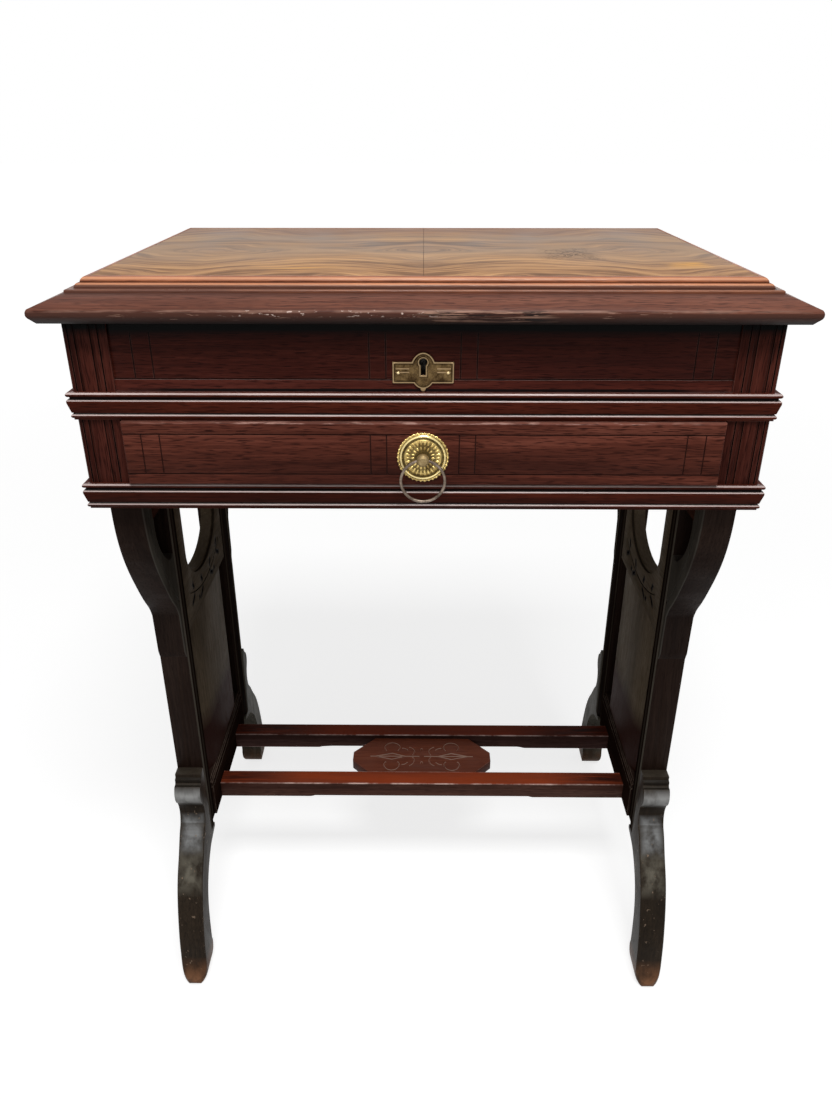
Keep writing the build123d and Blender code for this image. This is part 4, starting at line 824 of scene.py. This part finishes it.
# keyhole plate with a raised rim, a bevel round the keyhole, ribs on the arms and a stippled ground;
# "rim" rows are set in from the outline, "bevel" rows are set out from the keyhole
plate = dict(arms=(0.0235, 0.0083), armDrop=-0.0033, oval=(0.0100, 0.0140), ovalDrop=-0.0018, tip=0.0021,
             tipInset=0.001, keyRound=0.0030, keyRise=0.0045, slot=(0.0018, 0.0053), keyHeight=0.6796,
             count=240, sharp=40.0,
             rim=((0.0, 0.0, 0), (0.0, 0.0008, -0.5), (0.0003, 0.0012, -1.0), (0.0011, 0.0012, 0.9),
                  (0.0014, 0.0006, 0.5), (0.0024, 0.0006, 0.0)),
             bevel=((0.0016, 0.0006, 0.6), (0.0011, 0.0011, -0.8), (0.0004, 0.0011, -0.4), (0.0, 0.0007, 0.9),
                    (0.0, 0.0, 0.9)))
rib = dict(rises=(0.0008, 0.0036), drop=0.0006, out=0.0158, height=0.00085, size=(0.0105, 0.0010, 0.0007),
           ease=0.0003, shine=0.9)
stipple = dict(dot=0.00032, spacing=0.0009, density=4e6, seed=7, half=0.0085, low=-0.0145, high=0.0085,
               level=0.0007, rimRoom=0.0016, keyRoom=0.0014, limit=0.0084)


def reachBox(angle, halfX, low, high):
    x, z = math.cos(angle), math.sin(angle)
    sides = [halfX / abs(x)] if abs(x) > 1e-9 else []
    if abs(z) > 1e-9:
        sides.append((high if z > 0 else low) / z)
    return min(sides)


def reachOval(angle, halfX, halfZ, rise):
    x, z = math.cos(angle) / halfX, math.sin(angle) / halfZ
    shift = rise / halfZ
    a, b, c = x * x + z * z, -2 * z * shift, shift * shift - 1
    room = b * b - 4 * a * c
    return (-b + math.sqrt(room)) / (2 * a) if room > 0 else 0.0


def plateOutline(inset):
    armX, armZ = plate["arms"]
    ovalX, ovalZ = plate["oval"]
    low, high = plate["armDrop"] - armZ + inset, plate["armDrop"] + armZ - inset
    tip = plate["tip"] - inset

    def reach(angle):
        arms = reachBox(angle, armX - inset, low, high)
        oval = reachOval(angle, ovalX - inset, ovalZ - inset, plate["ovalDrop"])
        point = reachOval(angle, tip, tip, plate["ovalDrop"] - ovalZ) if inset < plate["tipInset"] else 0.0
        return max(arms, oval, point)
    return reach


def plateKeyhole(room):
    slotX, slotZ = plate["slot"]
    radius = plate["keyRound"] + room

    def reach(angle):
        slot = reachBox(angle, slotX + room, -slotZ - room, plate["keyRise"])
        return max(slot, reachOval(angle, radius, radius, plate["keyRise"]))
    return reach


def stippleDots(material):
    field = bmesh.new()
    half, low, high = stipple["half"], stipple["low"], stipple["high"]
    field.faces.new([field.verts.new((x, z, stipple["level"]))
                     for x, z in ((-half, low), (half, low), (half, high), (-half, high))])
    ground = looseObject("ground", field)
    dot = pebble("stippleDot", (stipple["dot"],) * 3, 6, 4)
    dots = grow(strewnPieces, {"Ground": ground, "Piece": dot, "Spacing": stipple["spacing"],
                               "Density": stipple["density"], "Seed": stipple["seed"], "Finish": material})
    keep = bmesh.new()
    keep.from_mesh(dots)
    inside, clear = plateOutline(stipple["rimRoom"]), plateKeyhole(stipple["keyRoom"])

    def astray(vert):
        angle = math.atan2(vert.co.y, vert.co.x)
        return not clear(angle) < vert.co.xy.length < inside(angle) or abs(vert.co.x) > stipple["limit"]

    each, verts, stray = len(dot.data.vertices), list(keep.verts), []
    for first in range(0, len(verts), each):      # a dot that touches the rim or the keyhole goes whole
        group = verts[first:first + each]
        if any(astray(vert) for vert in group):
            stray += group
    bmesh.ops.delete(keep, geom=stray, context="VERTS")
    keep.to_mesh(dots)
    keep.free()
    bpy.data.objects.remove(ground)
    bpy.data.objects.remove(dot)
    return dots


def addRibs(bm):
    shine = bm.faces.layers.float["shine"]
    for side in (-1, 1):
        for rise in rib["rises"]:
            middle = (side * rib["out"], plate["armDrop"] + rise - rib["drop"], rib["height"])
            shape = Matrix.Translation(middle) @ Matrix.Diagonal((*rib["size"], 1))
            made = bmesh.ops.create_cube(bm, size=1.0, matrix=shape)
            edges = {edge for vert in made["verts"] for edge in vert.link_edges}
            for face in {face for vert in made["verts"] for face in vert.link_faces}:
                face[shine] = rib["shine"]
            bmesh.ops.bevel(bm, geom=list(edges), offset=rib["ease"], segments=2, profile=0.5, affect="EDGES")


def buildPlate():
    material = metalMaterial("plateBrass", "plate", (0.7, 0.4, 0.6))
    rows = [(plateOutline(inset), height, mark) for inset, height, mark in plate["rim"]]
    rows += [(plateKeyhole(room), height, mark) for room, height, mark in plate["bevel"]]
    bm = polarShell(rows, plate["count"])
    bm.from_mesh(stippleDots(material))
    addRibs(bm)
    hangPressed(bm, "keyholePlate", "escutcheon_plate", "escutcheon", plate["keyHeight"] - plate["keyRise"],
                plate["sharp"], material)


buildRosette()
buildPlate()
print("pull rosette and keyhole plate made")


# plain pale floor, soft light, camera; the floor's glow evens out the fall of the lamps
stage = dict(floorSize=40.0, floorTint=(0.42, 0.42, 0.42), floorFleck=(0.45, 0.45, 0.45), fleckScale=3.0,
             floorRough=0.9, worldLight=0.20, glowNear=0.76, glowFar=0.93, glowReach=(0.8, 3.4),
             white=(1, 1, 1, 1))


def whiteToSight(bench):
    rays = bench.put("ShaderNodeLightPath").node.outputs
    indirect = bench.math("MAXIMUM", rays["Is Glossy Ray"], rays["Is Transmission Ray"])
    return bench.math("MAXIMUM", rays["Is Camera Ray"], indirect)


def buildFloor():
    mesh = bpy.data.meshes.new("floorMesh")
    half = stage["floorSize"] / 2
    corners = [(-half, -half, 0), (half, -half, 0), (half, half, 0), (-half, half, 0)]
    mesh.from_pydata(corners, [], [(0, 1, 2, 3)])
    floor = bpy.data.objects.new("floor", mesh)
    bpy.context.scene.collection.objects.link(floor)
    material, bench, shader = newMaterial("paleFloor")
    point = bench.point()
    flecks = bench.noise(point, stage["fleckScale"])
    feed(bench, bench.mix(flecks, stage["floorTint"], stage["floorFleck"]), shader, "Base Color")
    shader.inputs["Roughness"].default_value = stage["floorRough"]
    away = bench.put("ShaderNodeVectorMath", {0: point}, out="Value", operation="LENGTH")
    glow = bench.span(away, *stage["glowReach"], stage["glowNear"], stage["glowFar"])
    feed(bench, bench.times(whiteToSight(bench), glow), shader, "Emission Strength")
    shader.inputs["Emission Color"].default_value = stage["white"]
    shader.inputs["Specular IOR Level"].default_value = 0.0
    mesh.materials.append(material)


def buildWorld():
    world = bpy.data.worlds.new("studio")
    world.use_nodes = True
    bench = Bench(world.node_tree)
    strength = bench.span(whiteToSight(bench), 0.0, 1.0, stage["worldLight"], 1.0)
    background = world.node_tree.nodes["Background"]
    background.inputs["Color"].default_value = stage["white"]
    feed(bench, strength, background, "Strength")
    bpy.context.scene.world = world


lamps = [
    dict(name="softbox", place=(0.15, -1.0, 2.35), aim=(0, 0.0, 0.55), size=(0.9, 0.55), power=35.0),
    dict(name="frontFill", place=(-0.7, -2.6, 1.5), aim=(0, 0, 0.5), size=(1.6, 1.1), power=7.0),
]


def buildLamps():
    for lamp in lamps:
        data = bpy.data.lights.new(lamp["name"], "AREA")
        data.shape = "RECTANGLE"
        data.size, data.size_y = lamp["size"]
        data.energy = lamp["power"]
        item = bpy.data.objects.new(lamp["name"], data)
        bpy.context.scene.collection.objects.link(item)
        item.location = lamp["place"]
        way = Vector(lamp["aim"]) - Vector(lamp["place"])
        item.rotation_euler = way.to_track_quat("-Z", "Y").to_euler()


# the photo's pinhole camera: focal length and frame in the photo's pixels, place in metres, angles in degrees
lens = dict(focalPixels=861.2, frameWidth=832, sensor=36.0, clipStart=0.05, place=(-0.0004, -0.8249, 0.8428),
            tilt=26.45, turn=0.45)


def buildCamera():
    data = bpy.data.cameras.new("photoView")
    data.sensor_fit = "HORIZONTAL"
    data.sensor_width = lens["sensor"]
    data.lens = lens["sensor"] * lens["focalPixels"] / lens["frameWidth"]
    data.clip_start = lens["clipStart"]
    camera = bpy.data.objects.new("photoView", data)
    camera.location = lens["place"]
    camera.rotation_euler = (math.radians(90 - lens["tilt"]), 0, math.radians(lens["turn"]))
    bpy.context.scene.collection.objects.link(camera)
    bpy.context.scene.camera = camera


buildFloor()
buildWorld()
buildLamps()
buildCamera()
bpy.context.scene.view_settings.view_transform = "Standard"
print("stage set")
